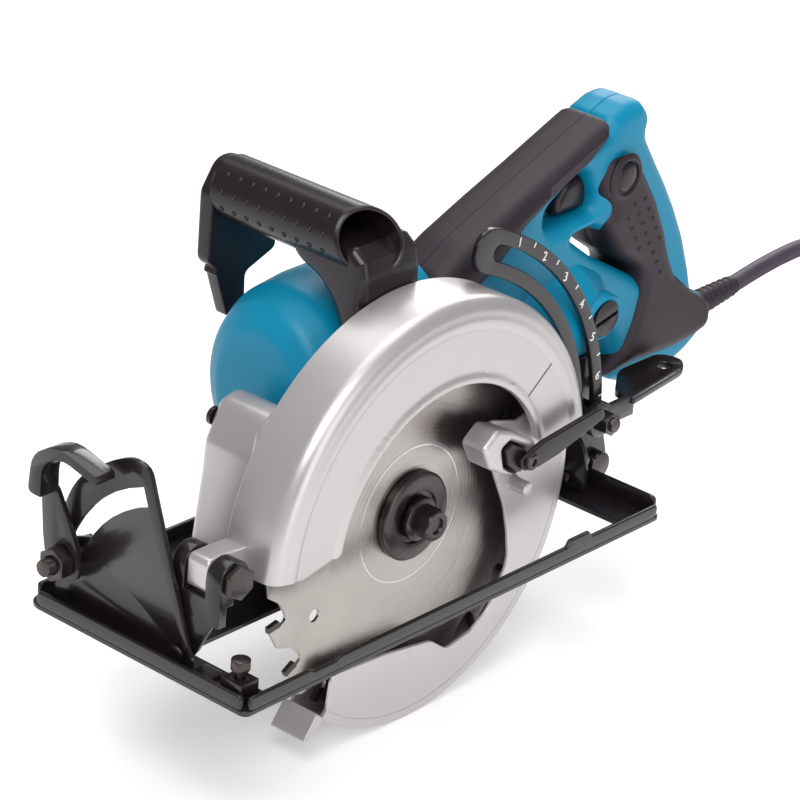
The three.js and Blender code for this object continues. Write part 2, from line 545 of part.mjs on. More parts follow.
function addTiltLinks() {
  const { x, z } = TILT_PIVOT;
  const knuckle = join(
    barY(x, z, -8, 0.7, 9, 20), barY(x, z, 13.6, 21, 9, 20),
    block(x - 9, x - 4, -8, 21, z - 21, z - 9.2),
    block(x - 9, x, -8, 0.7, z - 12, z), block(x - 9, x, 13.6, 21, z - 12, z));
  const plate = frontPlate(outline([
    [8, 3.2, 1], [4, 8, 3], [-2, 20, 4], [-8, 30], [21, 30], [70, 38, 6], [86, 32, 8], [84, 18, 8],
      [30, 7.5]]),
    x - 9, x - 6.5);
  const link = cut(join(knuckle, plate),
    barY(x, z, -20, 40, 4.3, 16), barX(BEVEL_AXIS.y, BEVEL_AXIS.z, x - 20, x, 3.3, 12),
      barX(77, 27, x - 20, x, 4.3, 12));
  add("front_link", link, blackSteel);
  const pin = join(barY(x, z, -11.5, 24.5, 4, 16), barY(x, z, -12.5, -8.3, 8, 6));
  add("tilt_pin", pin, darkSteel);
  const rear = join(
    frontPlate(outline([
      [8, 3.2, 1], [4.5, 8, 3], [0, 20, 4], [12, 22, 3], [24, 30, 5], [40, 31, 6], [44, 20, 6],
        [20, 3.4, 4]]), 133, 135.5),
    sidePlate(outline([[133.5, 22], [133.5, 12], [142, 11.8], [142, 3.5], [156, 3.5, 4], [157, 16, 5],
      [146, 22]]), 13, 16));
  add("rear_link", cut(rear,
    barX(BEVEL_AXIS.y, BEVEL_AXIS.z, 120, 145, 3.3, 12), barY(GUIDE_PIN.x, GUIDE_PIN.z, 0, 30, 3.5, 12),
    barX(34, 24, 120, 145, 3.6, 12)), blackSteel);
  const guidePin = join(barY(GUIDE_PIN.x, GUIDE_PIN.z, 6, 20, 3.1, 12),
    barY(GUIDE_PIN.x, GUIDE_PIN.z, 4, 8.2, 7, 16));
  add("guide_pin", guidePin, darkSteel);
}

// ---- Sole with its bevel quadrants ----

function addSole() {
  const { x0, x1, y0, y1, t } = SOLE;
  const sheet = topPlate(outline([[x0, y0, 4], [x1, y0, 4], [x1, y1, 8], [x0, y1, 8]]), 0, t);
  const lips = [
    block(x0 + 3, x1 - 3, y0, y0 + 2.5, t - 0.5, 8.5), block(x1 - 2.5, x1, y0 + 3, y1 - 6, t - 0.5, 11),
    block(x0, x0 + 2.5, y0 + 3, y1 - 6, t - 0.5, 9), block(x0 + 6, x1 - 6, y1 - 2.5, y1, t - 0.5, 9)];
  const slot = BLADE_SLOT;
  const plate = join(sheet, ...lips);
  add("sole", cut(plate, block(slot.x0, slot.x1, slot.y0, slot.y1, -5, 20)), blackSteel);
}

const FRONT_QUADRANT_X = [-135.4, -132.9];

// A round slot about the bevel axis, in (y, z), from one angle to another.
function bevelSlot(r, half, from, to, steps = 8) {
  const { y, z } = BEVEL_AXIS;
  return outline([...arc(r + half, from, to, steps, y, z), ...arc(r - half, to, from, steps, y, z)]);
}

function addBevelQuadrants() {
  const [x0, x1] = FRONT_QUADRANT_X;
  const foot = SOLE.t + GAP;
  const front = join(
    frontPlate(outline([
      [88.5, foot], [88.5, 36, 8], [77, 66, 12], [56, 82, 12], [44, 88, 6], [33, 87, 8], [27, 70, 10],
      [3, foot + 3, 2], [3, foot]]), x0, x1),
    block(x0, x0 + 8, 24, 84, foot, foot + 2.5));
  const radius = 69.9;
  const slot = join(
    frontPlate(bevelSlot(radius, 4.6, 12, 70), x0 - 1, x1 + 1),
    barX(...polar(radius, 12, BEVEL_AXIS.y, BEVEL_AXIS.z), x0 - 1, x1 + 1, 4.6, 12));
  add("bevel_quadrant_front", cut(front, slot, barX(BEVEL_AXIS.y, BEVEL_AXIS.z, x0 - 1, x1 + 1, 3.3,
    12)), blackSteel);
  const rear = frontPlate(outline([
    [48, foot], [56, 20, 8], [44, 38, 10], [20, 40, 10], [0, 26, 8], [-2, foot]]), 129.5, 132);
  const rearSlot = frontPlate(bevelSlot(29.5, 4, 25, 90), 125, 135);
  const lower = barX(BEVEL_AXIS.y, BEVEL_AXIS.z, 125, 140, 3.3, 12);
  add("bevel_quadrant_rear", cut(rear, rearSlot, lower), blackSteel);
}

function addBevelClamps() {
  const [x0] = FRONT_QUADRANT_X;
  const { y, z } = BEVEL_AXIS;
  const boltFront = join(barX(77, 27, x0 - 18, TILT_PIVOT.x - 4, 4, 16), barX(77, 27, -128.2, -124, 8, 6));
  add("bevel_bolt", boltFront, darkSteel);
  const plate = frontPlate(outline([
    [66, 22, 6], [70, 38, 4], [84, 62, 4], [92, 58, 4], [90, 34, 6], [87, 20, 8], [76, 16, 8]]),
      x0 - 5.6, x0 - 3);
  const tab = frontPlate(outline([[84, 58], [92, 58, 4], [90, 78, 10], [74, 86, 8], [50, 80, 4],
    [50, 76, 3], [72, 81, 6], [84, 74, 6]]),
    x0 - 14, x0 - 3);
  add("bevel_lever", cut(join(plate, tab), barX(77, 27, x0 - 20, x0, 4.3, 16)), blackSteel);
  add("bevel_nut", cut(barX(77, 27, x0 - 13, x0 - 6, 8, 6), barX(77, 27, x0 - 14, x0 - 5, 4.3, 16)),
    darkSteel);
  add("bevel_rivet_front", join(barX(y, z, x0 - 2, -127.8, 3, 12),
    barX(y, z, x0 - 2.4, x0 - 0.4, 4.1, 12)), darkSteel);
  add("bevel_rivet_rear", join(barX(y, z, 128, 137, 3, 12), barX(y, z, 135.8, 137.6, 4.1, 12)), darkSteel);
  const thumb = join(barX(34, 24, 122, 139.5, 3.2, 12), barX(34, 24, 135.8, 146, 8, 16));
  add("bevel_thumb_bolt", thumb, blackSteel);
}

const FENCE_SCREW = { x: -137.1, y: -28 };

function addFenceClamp() {
  const { x, y } = FENCE_SCREW;
  const guide = block(-145, -120, y - 3, y + 3, 5, 8.5);
  const screwHole = bar([x, y, 8], [x, y, 14], 2.5, 2.5, 10);
  add("fence_clamp_block", cut(block(x - 5.6, x + 5.6, y - 6, y + 6, 2.8, 12), guide, screwHole),
    blackSteel);
  const screw = join(bar([x, y, 8.8], [x, y, 17], 2.2, 2.2, 10), bar([x, y, 16], [x, y, 21], 4.4, 4.4, 12));
  add("fence_clamp_screw", screw, darkSteel);
  add("sight_tongue", topPlate(outline([[-142, -12, 2], [-130, -12, 2], [-130, 0, 2], [-142, -3, 2]]),
    2.8, 4.8), blackSteel);
}

// ---- Mains cord ----

// The cord's way from the guard's mouth, down to the floor and along it to the coil's outer turn.
const CORD_Z = FLOOR_Z + CORD_D / 2 + 0.1;
const CORD_PATH = [
  [302.4, 44, 50], [325, 44, 53.2], [347, 44.3, 54.8], [368, 45, 54], [388, 46, 48], [403, 47.2, 32],
  [411, 48.6, 8], [415, 50, -18], [422, 51.4, -42], [434, 52.6, -57], [446, 53.3, CORD_Z + 0.6],
    [456.6, 53.5, CORD_Z]];
const COIL_AT = { x: 490, y: -6 };
const COIL_HALF_WIDTH = 14;
const COIL_HEIGHT = 28;

function addCord() {
  const guard = join(
    bar([246, 44, 46], [262, 44, 46], 7.4, 7.4, 16), bar([261.5, 44, 46], [302, 44, 50], 7.4, 5.2, 16));
  add("cord_guard", guard, rubber);
  const path = new THREE.CatmullRomCurve3(CORD_PATH.map((p) => new THREE.Vector3(...p)),
    false, "centripetal");
  const section = new THREE.Shape();
  section.absarc(0, 0, CORD_D / 2, 0, 2 * Math.PI, false);
  const tube = { steps: 16, extrudePath: path, curveSegments: 8, bevelEnabled: false };
  add("cord_run", new THREE.ExtrudeGeometry(section, tube), cordRubber);
  const { x, y } = COIL_AT;
  const profile = [
    [COIL_R - COIL_HALF_WIDTH, 0.1], [COIL_R + COIL_HALF_WIDTH, 0.1],
      [COIL_R + COIL_HALF_WIDTH, COIL_HEIGHT],
    [COIL_R - COIL_HALF_WIDTH, COIL_HEIGHT], [COIL_R - COIL_HALF_WIDTH, 0.1]];
  const coil = new THREE.LatheGeometry(profile.map(([r, h]) => new THREE.Vector2(r, h)), 32);
  add("cord_coil", toGeometry(toSolid(coil.rotateX(Math.PI / 2).translate(x, y, FLOOR_Z))), cordRubber);
  const top = FLOOR_Z + COIL_HEIGHT + GAP;
  const v = y - COIL_R;
  const body = topPlate(outline([
    [x - 22, v + 17, 6], [x - 22, v - 17, 6], [x + 6, v - 17, 8], [x + 26, v - 8, 4], [x + 26, v + 8, 4],
    [x + 6, v + 17, 8]]), top, top + 24);
  const pins = [-9.5, 9.5].map((side) => bar([x - 21, v + side, top + 12], [x - 40, v + side, top + 12],
    2.4, 2.4, 10));
  add("plug", join(body, ...pins), blackPlastic);
}

addBladeShaft();
addBearings();
addBladeCase();
addLowerGuard();
addGearHousing();
addMotor();
addRearHandle();
addFrontHandle();
addDepthGuide();
addDepthClamp();
addTiltLinks();
addSole();
addBevelQuadrants();
addBevelClamps();
addFenceClamp();
addCord();

export default saw;
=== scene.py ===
"""Looks of the hand circular saw: rounded castings, moulded grips, printed scale, cord and finishes.

Lengths are millimetres measured as the design does it: x = 0 at the arbor, y = 0 in the blade's plane and
z = 0 under the sole. place() turns them into the frame's metres.
"""
import json

import bmesh
import bpy
import numpy as np
from mathutils import Matrix, Vector
from mathutils.geometry import delaunay_2d_cdt

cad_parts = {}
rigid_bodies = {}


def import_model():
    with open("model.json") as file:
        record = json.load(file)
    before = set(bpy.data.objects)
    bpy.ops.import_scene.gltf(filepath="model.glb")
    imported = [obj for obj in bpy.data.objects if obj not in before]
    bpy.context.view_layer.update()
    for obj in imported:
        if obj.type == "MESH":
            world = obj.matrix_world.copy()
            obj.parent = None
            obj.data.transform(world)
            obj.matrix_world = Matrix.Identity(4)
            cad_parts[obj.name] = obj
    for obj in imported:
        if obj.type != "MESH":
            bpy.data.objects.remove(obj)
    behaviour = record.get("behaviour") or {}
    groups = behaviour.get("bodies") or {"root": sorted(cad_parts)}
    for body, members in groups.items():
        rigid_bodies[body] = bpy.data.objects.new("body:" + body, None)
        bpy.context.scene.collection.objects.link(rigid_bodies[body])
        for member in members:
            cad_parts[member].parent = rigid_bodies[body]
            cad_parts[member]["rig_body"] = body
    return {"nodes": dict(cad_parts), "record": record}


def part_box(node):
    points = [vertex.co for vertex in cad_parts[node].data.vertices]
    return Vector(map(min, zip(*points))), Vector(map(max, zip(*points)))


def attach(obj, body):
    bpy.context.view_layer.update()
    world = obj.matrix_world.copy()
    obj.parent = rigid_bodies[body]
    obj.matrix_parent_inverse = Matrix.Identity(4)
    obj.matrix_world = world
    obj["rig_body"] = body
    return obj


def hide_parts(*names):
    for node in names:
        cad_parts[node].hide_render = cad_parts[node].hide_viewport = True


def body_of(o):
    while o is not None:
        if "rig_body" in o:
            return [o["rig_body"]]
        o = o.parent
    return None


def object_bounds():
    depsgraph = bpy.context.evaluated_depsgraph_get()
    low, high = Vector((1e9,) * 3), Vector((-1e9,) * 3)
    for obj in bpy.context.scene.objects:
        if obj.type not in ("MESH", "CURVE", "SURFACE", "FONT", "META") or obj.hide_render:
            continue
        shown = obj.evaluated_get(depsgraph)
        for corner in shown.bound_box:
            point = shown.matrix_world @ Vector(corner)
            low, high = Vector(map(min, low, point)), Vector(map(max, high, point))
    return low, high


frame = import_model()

MM = 0.001
NODES = frame["nodes"]
CAD_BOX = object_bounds()


def middle(node):
    """Centre of a node's box, in metres."""
    low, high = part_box(node)
    return (np.array(low) + np.array(high)) / 2


BLADE_AT = middle("saw_blade")
ARBOR_Z = BLADE_AT[2] / MM
BLADE_R = (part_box("saw_blade")[1][0] - BLADE_AT[0]) / MM
FLOOR_Z = CAD_BOX[0][2] / MM
CASE_R = 108.0
CASE_NEAR, CASE_FAR = -18.0, 13.0
OPENING = (2.1, ARBOR_Z - 1.1, 69.0)
GUARD_R = 100.8
GUARD_NEAR, GUARD_FAR = -10.8, 9.6
MIDDLE_Y = 44.0
MOTOR_AT = np.array([155.0, MIDDLE_Y, 84.0])
MOTOR_TILT = np.radians(12)
MOTOR_R = 30.4
GRIP = dict(x=-15.3, z=163.6, r=15.2, y0=20.8, y1=110.0)
CORD_D = 9.0


def place(points):
    """Design millimetres to the frame's metres."""
    return np.asarray(points, float) * MM + np.array([0.0, BLADE_AT[1], 0.0])


# ---- Lines and outlines ----

def polar(radius, degrees, x=0.0, z=None):
    """Points at a radius and angles round a centre, the arbor unless told otherwise."""
    angle = np.radians(np.asarray(degrees, float))
    centre_z = ARBOR_Z if z is None else z
    return np.stack([x + radius * np.cos(angle), centre_z + radius * np.sin(angle)], -1)


def arc(radius, start, end, count=40, x=0.0, z=None):
    """Evenly spaced points along an arc, as a list of corners."""
    return polar(radius, np.linspace(start, end, count), x, z).tolist()


def rounded(corners, closed=True, step=2.0):
    """A line through corners (u, v) or (u, v, radius).

    A corner with a radius becomes the parabola that touches both its sides, (1-s)^2 A + 2s(1-s) P + s^2 B,
    where A and B lie on the sides at radius / tan(half the corner's angle). Sides are then cut to pieces up
    to step long.
    """
    flat = np.array([c[:2] for c in corners], float)
    radii = [c[2] if len(c) > 2 else 0 for c in corners]
    count = len(flat)
    line = []
    for i, radius in enumerate(radii):
        if not radius or (not closed and i in (0, count - 1)):
            line.append(flat[i][None])
            continue
        a, b = flat[i - 1] - flat[i], flat[(i + 1) % count] - flat[i]
        la, lb = np.linalg.norm(a), np.linalg.norm(b)
        half = np.arccos(np.clip(a @ b / la / lb, -1, 1)) / 2
        reach = min(radius / np.tan(max(half, 0.05)), 0.49 * la, 0.49 * lb)
        start, end = flat[i] + a / la * reach, flat[i] + b / lb * reach
        s = np.linspace(0, 1, max(4, int(reach * (np.pi - 2 * half)) // 2 + 4))[:, None]
        line.append((1 - s) ** 2 * start + 2 * s * (1 - s) * flat[i] + s ** 2 * end)
    line = np.concatenate(line)
    ahead = np.roll(line, -1, 0) if closed else line[1:]
    pieces = [np.linspace(p, q, max(1, int(np.ceil(np.linalg.norm(q - p) / step))), endpoint=False)
              for p, q in zip(line, ahead) if np.linalg.norm(q - p) > 1e-6]
    return np.concatenate(pieces if closed else pieces + [line[-1:]])


def depth_inside(points, loops):
    """Distance from each point to the nearest side of any loop: positive inside, negative outside."""
    a = np.concatenate(loops)
    b = np.concatenate([np.roll(loop, -1, 0) for loop in loops])
    side = b - a
    length2 = (side ** 2).sum(-1) + 1e-12
    result = []
    for part in np.array_split(points, len(points) * len(a) // 3_000_000 + 1):
        w = part[:, None] - a
        t = np.clip((w * side).sum(-1) / length2, 0, 1)
        distance = np.linalg.norm(w - t[..., None] * side, axis=-1).min(1)
        u, v = part[:, :1], part[:, 1:]
        spans = (a[:, 1] > v) != (b[:, 1] > v)
        rise = np.where(side[:, 1] == 0, 1e-9, side[:, 1])
        crossed = spans & (u < a[:, 0] + (v - a[:, 1]) * side[:, 0] / rise)
        result.append(np.where(crossed.sum(1) % 2 == 1, distance, -distance))
    return np.concatenate(result)


def normals_of(loop, sign):
    """Outward normals of a closed loop, from the chord between each point's neighbours."""
    chord = np.roll(loop, -1, 0) - np.roll(loop, 1, 0)
    normal = np.stack([chord[:, 1], -chord[:, 0]], -1)
    return sign * normal / (np.linalg.norm(normal, axis=1)[:, None] + 1e-9)


def area_of(loop):
    """A closed loop's area, positive when it runs anticlockwise."""
    ahead = np.roll(loop, -1, 0)
    return (loop[:, 0] * ahead[:, 1] - loop[:, 1] * ahead[:, 0]).sum() / 2


# ---- Meshes ----

def piece(name, points, faces, paint=None, sharp=35, weld=True):
    """A mesh object from design millimetres, its normals turned out and its edges sharp past an angle."""
    mesh = bpy.data.meshes.new(name)
    mesh.from_pydata(place(points).tolist(), [], [list(f) for f in faces])
    work = bmesh.new()
    work.from_mesh(mesh)
    if weld:
        bmesh.ops.remove_doubles(work, verts=work.verts, dist=1e-6)
    bmesh.ops.recalc_face_normals(work, faces=work.faces)
    work.to_mesh(mesh)
    work.free()
    mesh.shade_smooth()
    mesh.set_sharp_from_angle(angle=np.radians(sharp))
    if paint:
        mesh.materials.append(paint)
    return shown(name, mesh)


def strip(across, along, wrap_across=False, wrap_along=False):
    """Quads of a grid of points numbered line by line: across lines of along points each."""
    i = np.arange(across if wrap_across else across - 1)
    j = np.arange(along if wrap_along else along - 1)
    i, j = np.meshgrid(i, j, indexing="ij")
    n, m = (i + 1) % across, (j + 1) % along
    return np.stack([i * along + j, n * along + j, n * along + m, i * along + m], -1).reshape(-1, 4).tolist()


def closed_ends(count, around):
    """The two faces that close a tube made by strip from count rings of around points."""
    return [list(range(around)), list(range((count - 1) * around, count * around))]


def unit(vectors):
    """Each vector at length 1."""
    return vectors / np.linalg.norm(vectors, axis=1)[:, None]


def shown(name, data):
    """A new object in the scene that holds this mesh, curve, camera or light."""
    made = bpy.data.objects.new(name, data)
    bpy.context.scene.collection.objects.link(made)
    return made


# For each height axis, where u, v and the height go in (x, y, z)
TO_SPACE = {"y": (0, 2, 1), "x": (1, 2, 0), "z": (0, 1, 2)}


def stand_up(flat, height, axis):
    """(u, v) and a height to (x, y, z): the height runs along axis."""
    u_at, v_at, h_at = TO_SPACE[axis]
    points = np.zeros((len(flat), 3))
    points[:, u_at], points[:, v_at], points[:, h_at] = flat[:, 0], flat[:, 1], height
    return points


def face_of(loops, soft, grid, relief):
    """Points and triangles of one face of a slab.

    Points lie on the loops, on lines inside them at soft * (1 - cos a) for a from 0 to 90 degrees, and on a
    square grid. A line's points that come nearer to another side than that are dropped.
    """
    edge = np.concatenate(loops)
    inner = []
    if soft > 0:
        for a in np.radians([18, 36, 54, 72, 90]):
            inset = soft * (1 - np.cos(a))
            for loop in loops:
                sign = np.sign(area_of(loop)) * (1 if loop is loops[0] else -1)
                moved = loop - normals_of(loop, sign) * inset
                inner.append(moved[np.abs(depth_inside(moved, loops) - inset) < 0.04 * soft + 0.02])
    if grid:
        low, high = edge.min(0), edge.max(0)
        u, v = np.meshgrid(np.arange(low[0], high[0], grid), np.arange(low[1], high[1], grid), indexing="ij")
        v = v + 0.5 * grid * (np.arange(len(u)) % 2)[:, None]
        cloud = np.stack([u.ravel(), v.ravel()], -1)
        keep = depth_inside(cloud, loops)
        inner.append(cloud[keep > (soft + 0.4 * grid if not relief else 0.45 * grid)])
    flat = np.concatenate([edge] + inner) if inner else edge
    sides, start = [], 0
    for loop in loops:
        ring = np.arange(len(loop))
        sides += np.stack([ring + start, (ring + 1) % len(loop) + start], -1).tolist()
        start += len(loop)
    out = delaunay_2d_cdt([Vector(p) for p in flat.tolist()], sides, [], 1, 1e-5)
    origin = np.array([ids[0] if ids else -1 for ids in out[3]])
    points = np.array([tuple(p) for p in out[0]])
    new = np.flatnonzero(origin < 0)
    origin[new] = len(flat) + np.arange(len(new))
    flat = np.concatenate([flat, points[new]]) if len(new) else flat
    triangles = origin[np.array([f for f in out[2] if len(f) == 3])]
    centres = flat[triangles].mean(1)
    return flat, triangles[depth_inside(centres, loops) > 0], len(edge)


def crown(depth, soft):
    """How far a rounded edge has dropped at a depth inside it: a quarter circle of radius soft."""
    if soft <= 0:
        return np.zeros_like(depth)
    t = np.clip(depth / soft, 0, 1)
    return soft * (1 - np.sqrt(np.clip(1 - (1 - t) ** 2, 0, 1)))


def slab(name, outline, low, high, axis="y", soft=(0.6, 0.6), holes=(), paint=None, grid=0,
         relief=(None, None), step=2.0, sharp=35):
    """A plate between two heights along an axis, with rounded edges and holes.

    Each face's height is its plane less crown(depth inside the outline), plus a relief that is a function
    of its (u, v) points.
    """
    loops = [rounded(outline, step=step)] + [rounded(hole, step=step) for hole in holes]
    points, faces, start, edges = [], [], 0, []
    for plane, turn, rim, bump in ((low, 1, soft[0], relief[0]), (high, -1, soft[1], relief[1])):
        flat, triangles, rim_count = face_of(loops, rim, grid, bump)
        depth = np.clip(depth_inside(flat, loops), 0, None)
        depth[:rim_count] = 0
        height = plane + turn * crown(depth, rim)
        if bump:
            height = height - turn * bump(flat)
        points.append(stand_up(flat, height, axis))
        faces += (triangles + start).tolist()
        edges.append(start)
        start += len(flat)
    offset = 0
    for loop in loops:
        ring = np.arange(len(loop))
        ahead = (ring + 1) % len(loop)
        wall = np.stack([edges[0] + offset + ring, edges[0] + offset + ahead,
                         edges[1] + offset + ahead, edges[1] + offset + ring], -1)
        faces += wall.tolist()
        offset += len(loop)
    return piece(name, np.concatenate(points), faces, paint, sharp)


def lathe(name, profile, at, axis="y", sides=64, closed=False, paint=None, facets=0, sharp=35, spin=0.0,
          clip=None):
    """A profile (radius, along) turned round an axis through at: radius cos t, radius sin t.

    With facets the radius is also kept inside a regular polygon of across-corner radius facets[1].
    """
    line = np.asarray(profile, float)
    t = np.linspace(0, 2 * np.pi, sides, endpoint=False)
    radius = np.repeat(line[:, :1], sides, 1)
    if facets:
        count, corner = facets
        sector = 2 * np.pi / count
        flat_side = corner * np.cos(sector / 2) / np.cos(np.mod(t, sector) - sector / 2)
        radius = np.minimum(radius, flat_side)
    u, v = radius * np.cos(t + spin), radius * np.sin(t + spin)
    h = np.repeat(line[:, 1:2], sides, 1)
    order = {"y": (u, h, v), "x": (h, u, v), "z": (u, v, h)}[axis]
    points = np.stack(order, -1).reshape(-1, 3)
    if clip:
        points = clip(points)
    return piece(name, points + np.asarray(at, float), strip(len(line), sides, closed, True), paint, sharp)


def swept(name, path, section, paint=None, side=(0, 1, 0), scale=None, sharp=35):
    """A closed section (a, b) carried along a path: path + a * side + b * (side x tangent), with flat
    ends."""
    path, section = np.asarray(path, float), np.asarray(section, float)
    side = np.asarray(side, float)
    tangent = unit(np.gradient(path, axis=0))
    across = unit(side - (tangent @ side)[:, None] * tangent)
    up = np.cross(across, tangent)
    size = np.ones(len(path)) if scale is None else np.asarray(scale, float)
    points = (path[:, None] + section[None, :, :1] * across[:, None] * size[:, None, None]
              + section[None, :, 1:] * up[:, None] * size[:, None, None])
    count, around = len(path), len(section)
    faces = strip(count, around, False, True) + closed_ends(count, around)
    return piece(name, points.reshape(-1, 3), faces, paint, sharp)


def circle(radius, sides=24):
    """Evenly spaced points on a circle round (0, 0)."""
    t = np.linspace(0, 2 * np.pi, sides, endpoint=False)
    return np.stack([radius * np.cos(t), radius * np.sin(t)], -1)


def studs(name, centres, normals, radius, height, paint):
    """Low round domes at centres along normals: rings at radius cos a and height sin a, up to the top."""
    centres, normals = np.asarray(centres, float), unit(np.asarray(normals, float))
    guide = np.where(np.abs(normals[:, 1:2]) > 0.9, [[1.0, 0, 0]], [[0, 1.0, 0]])
    a = unit(np.cross(normals, guide))
    b = np.cross(normals, a)
    lift, t = np.radians([-25, 0, 30, 60, 88]), np.linspace(0, 2 * np.pi, 12, endpoint=False)
    out = radius * np.cos(lift)[:, None, None] * np.stack([np.cos(t), np.sin(t)], -1)[None]
    up = height * np.sin(lift)[:, None].repeat(len(t), 1)
    centres, a, b, normals = (v[:, None, None] for v in (centres, a, b, normals))
    points = centres + out[None, ..., :1] * a + out[None, ..., 1:] * b + up[None, ..., None] * normals
    each = strip(len(lift), len(t), False, True) + closed_ends(len(lift), len(t))
    per = len(lift) * len(t)
    faces = [[i + k * per for i in f] for k in range(len(centres)) for f in each]
    return piece(name, points.reshape(-1, 3), faces, paint, sharp=80, weld=False)


def bevelled(node, width=0.5, paint=None, segments=2):
    """A node's own shape with its triangles merged into whole faces and its edges rounded by a Bevel."""
    mesh = NODES[node].data.copy()
    work = bmesh.new()
    work.from_mesh(mesh)
    bmesh.ops.remove_doubles(work, verts=work.verts, dist=2e-6)
    bmesh.ops.dissolve_limit(work, angle_limit=np.radians(1.0), verts=work.verts, edges=work.edges)
    work.to_mesh(mesh)
    work.free()
    mesh.materials.clear()
    mesh.shade_smooth()
    made = shown(node + "_finished", mesh)
    edge = made.modifiers.new("edge", "BEVEL")
    edge.width, edge.segments, edge.limit_method = width * MM, segments, "ANGLE"
    edge.angle_limit = np.radians(32)
    edge.harden_normals = True
    if paint:
        mesh.materials.append(paint)
    return made


def rides_with(node):
    """The body that a node moves with."""
    return body_of(NODES[node])[0]


def stands_for(obj, nodes):
    """obj takes the place of these nodes and moves with them."""
    nodes = [nodes] if isinstance(nodes, str) else list(nodes)
    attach(obj, rides_with(nodes[0]))
    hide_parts(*nodes)
    return obj


def goes_with(obj, node):
    """obj is a detail on this node's body."""
    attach(obj, rides_with(node))
    return obj


# ---- Finishes ----

def operator(operation, swapped=False):
    """A Python operator that adds a Math node. The right-hand forms have their operands swapped."""
    def apply(self, other):
        return self.maths(operation, other, self) if swapped else self.maths(operation, self, other)
    return apply


class Wire:
    """A shader value. Python's operators on it add Math nodes to its material."""

    def __init__(self, tree, socket):
        self.tree = tree
        self.socket = socket

    def node(self, kind, settings=None, out=0, **values):
        """Any other node: its settings first, then its sockets by name with values or wires."""
        made = self.tree.nodes.new(kind)
        for key, value in (settings or {}).items():
            if key == "stops":
                ramp = made.color_ramp
                while len(ramp.elements) < len(value):
                    ramp.elements.new(1.0)
                for stop, (where, colour) in zip(ramp.elements, value):
                    stop.position, stop.color = where, colour
            else:
                setattr(made, key, value)
        for key, value in values.items():
            name = key.replace("_", " ")
            socket = made.inputs[int(key[1:])] if key[0] == "i" and key[1:].isdigit() else made.inputs[name]
            if isinstance(value, Wire):
                self.tree.links.new(value.socket, socket)
            else:
                socket.default_value = value
        return Wire(self.tree, made.outputs[out] if made.outputs else None)

    def maths(self, operation, *values):
        """A Math node on these values or wires."""
        return self.node("ShaderNodeMath", {"operation": operation},
                         **{f"i{k}": v for k, v in enumerate(values)})

    __add__, __radd__ = operator("ADD"), operator("ADD", swapped=True)
    __sub__, __rsub__ = operator("SUBTRACT"), operator("SUBTRACT", swapped=True)
    __mul__, __rmul__ = operator("MULTIPLY"), operator("MULTIPLY", swapped=True)
    __truediv__ = operator("DIVIDE")

    def step(self, low, high):
        """0 below low, 1 above high, and a straight line between."""
        return self.node("ShaderNodeMapRange", {"clamp": True}, Value=self, From_Min=low, From_Max=high)

    def tint(self, dark, light):
        """A colour between two, by this value."""
        return self.node("ShaderNodeMix", {"data_type": "RGBA"}, out=2, i0=self, i6=(*dark, 1),
                         i7=(*light, 1))


def finish(name, base, rough, metal=0.0, grain=900, grain_depth=0.1, blotch=0.12, rough_spread=0.08,
           coat=0.0, coat_rough=0.1, brushed=None, fleck=0.0, specular=0.5, glow=0.0):
    """One procedural finish on Object coordinates.

    Base colour: base darkened and lightened by a broad noise, and by a fine fleck. Roughness: rough plus
    noise. Normal: fine grain, or with brushed=(x, z, scale) rings about an axis along Y.
    """
    material = bpy.data.materials.new(name)
    material.use_nodes = True
    tree = material.node_tree
    tree.nodes.clear()
    here = Wire(tree, None)
    spot = here.node("ShaderNodeTexCoord", out=3)
    broad = here.node("ShaderNodeTexNoise", {}, Vector=spot, Scale=28.0, Detail=3.0)
    fine = here.node("ShaderNodeTexNoise", {}, Vector=spot, Scale=float(grain), Detail=2.0)
    shade = broad
    base = np.array(base, float)
    if fleck:
        shade = broad * (1 - fleck) + fine * fleck
    dark, light = tuple(base * (1 - blotch)), tuple(np.minimum(base * (1 + blotch), 1))
    colour = shade.step(0.3, 0.7).tint(dark, light)
    gloss = broad * rough_spread * 2 + (rough - rough_spread)
    height = fine
    if brushed:
        x, z, scale = brushed
        parts = [here.node("ShaderNodeSeparateXYZ", out=k, Vector=spot) for k in (0, 2)]
        dx, dz = parts[0] - x, parts[1] - z
        radius = here.maths("SQRT", dx * dx + dz * dz)
        ring = here.node("ShaderNodeCombineXYZ", X=radius * scale, Y=0.0, Z=0.0)
        lines = here.node("ShaderNodeTexNoise", {}, Vector=ring, Scale=1.0, Detail=4.0)
        height = lines
        gloss = gloss + (lines - 0.5) * 0.25
        colour = (shade * 0.4 + lines * 0.6).step(0.3, 0.7).tint(dark, light)
    bump = here.node("ShaderNodeBump", {}, Strength=grain_depth, Distance=0.0004, Height=height)
    extra = {"Coat_Weight": coat, "Coat_Roughness": coat_rough} if coat else {}
    if glow:
        extra.update(Emission_Color=(1.0, 1.0, 1.0, 1.0), Emission_Strength=glow)
    surface = here.node("ShaderNodeBsdfPrincipled", {}, Base_Color=colour, Roughness=gloss, Metallic=metal,
                        Normal=bump, Specular_IOR_Level=specular, **extra)
    here.node("ShaderNodeOutputMaterial", {}, Surface=surface)
    material.diffuse_color = (*base, 1)
    return material


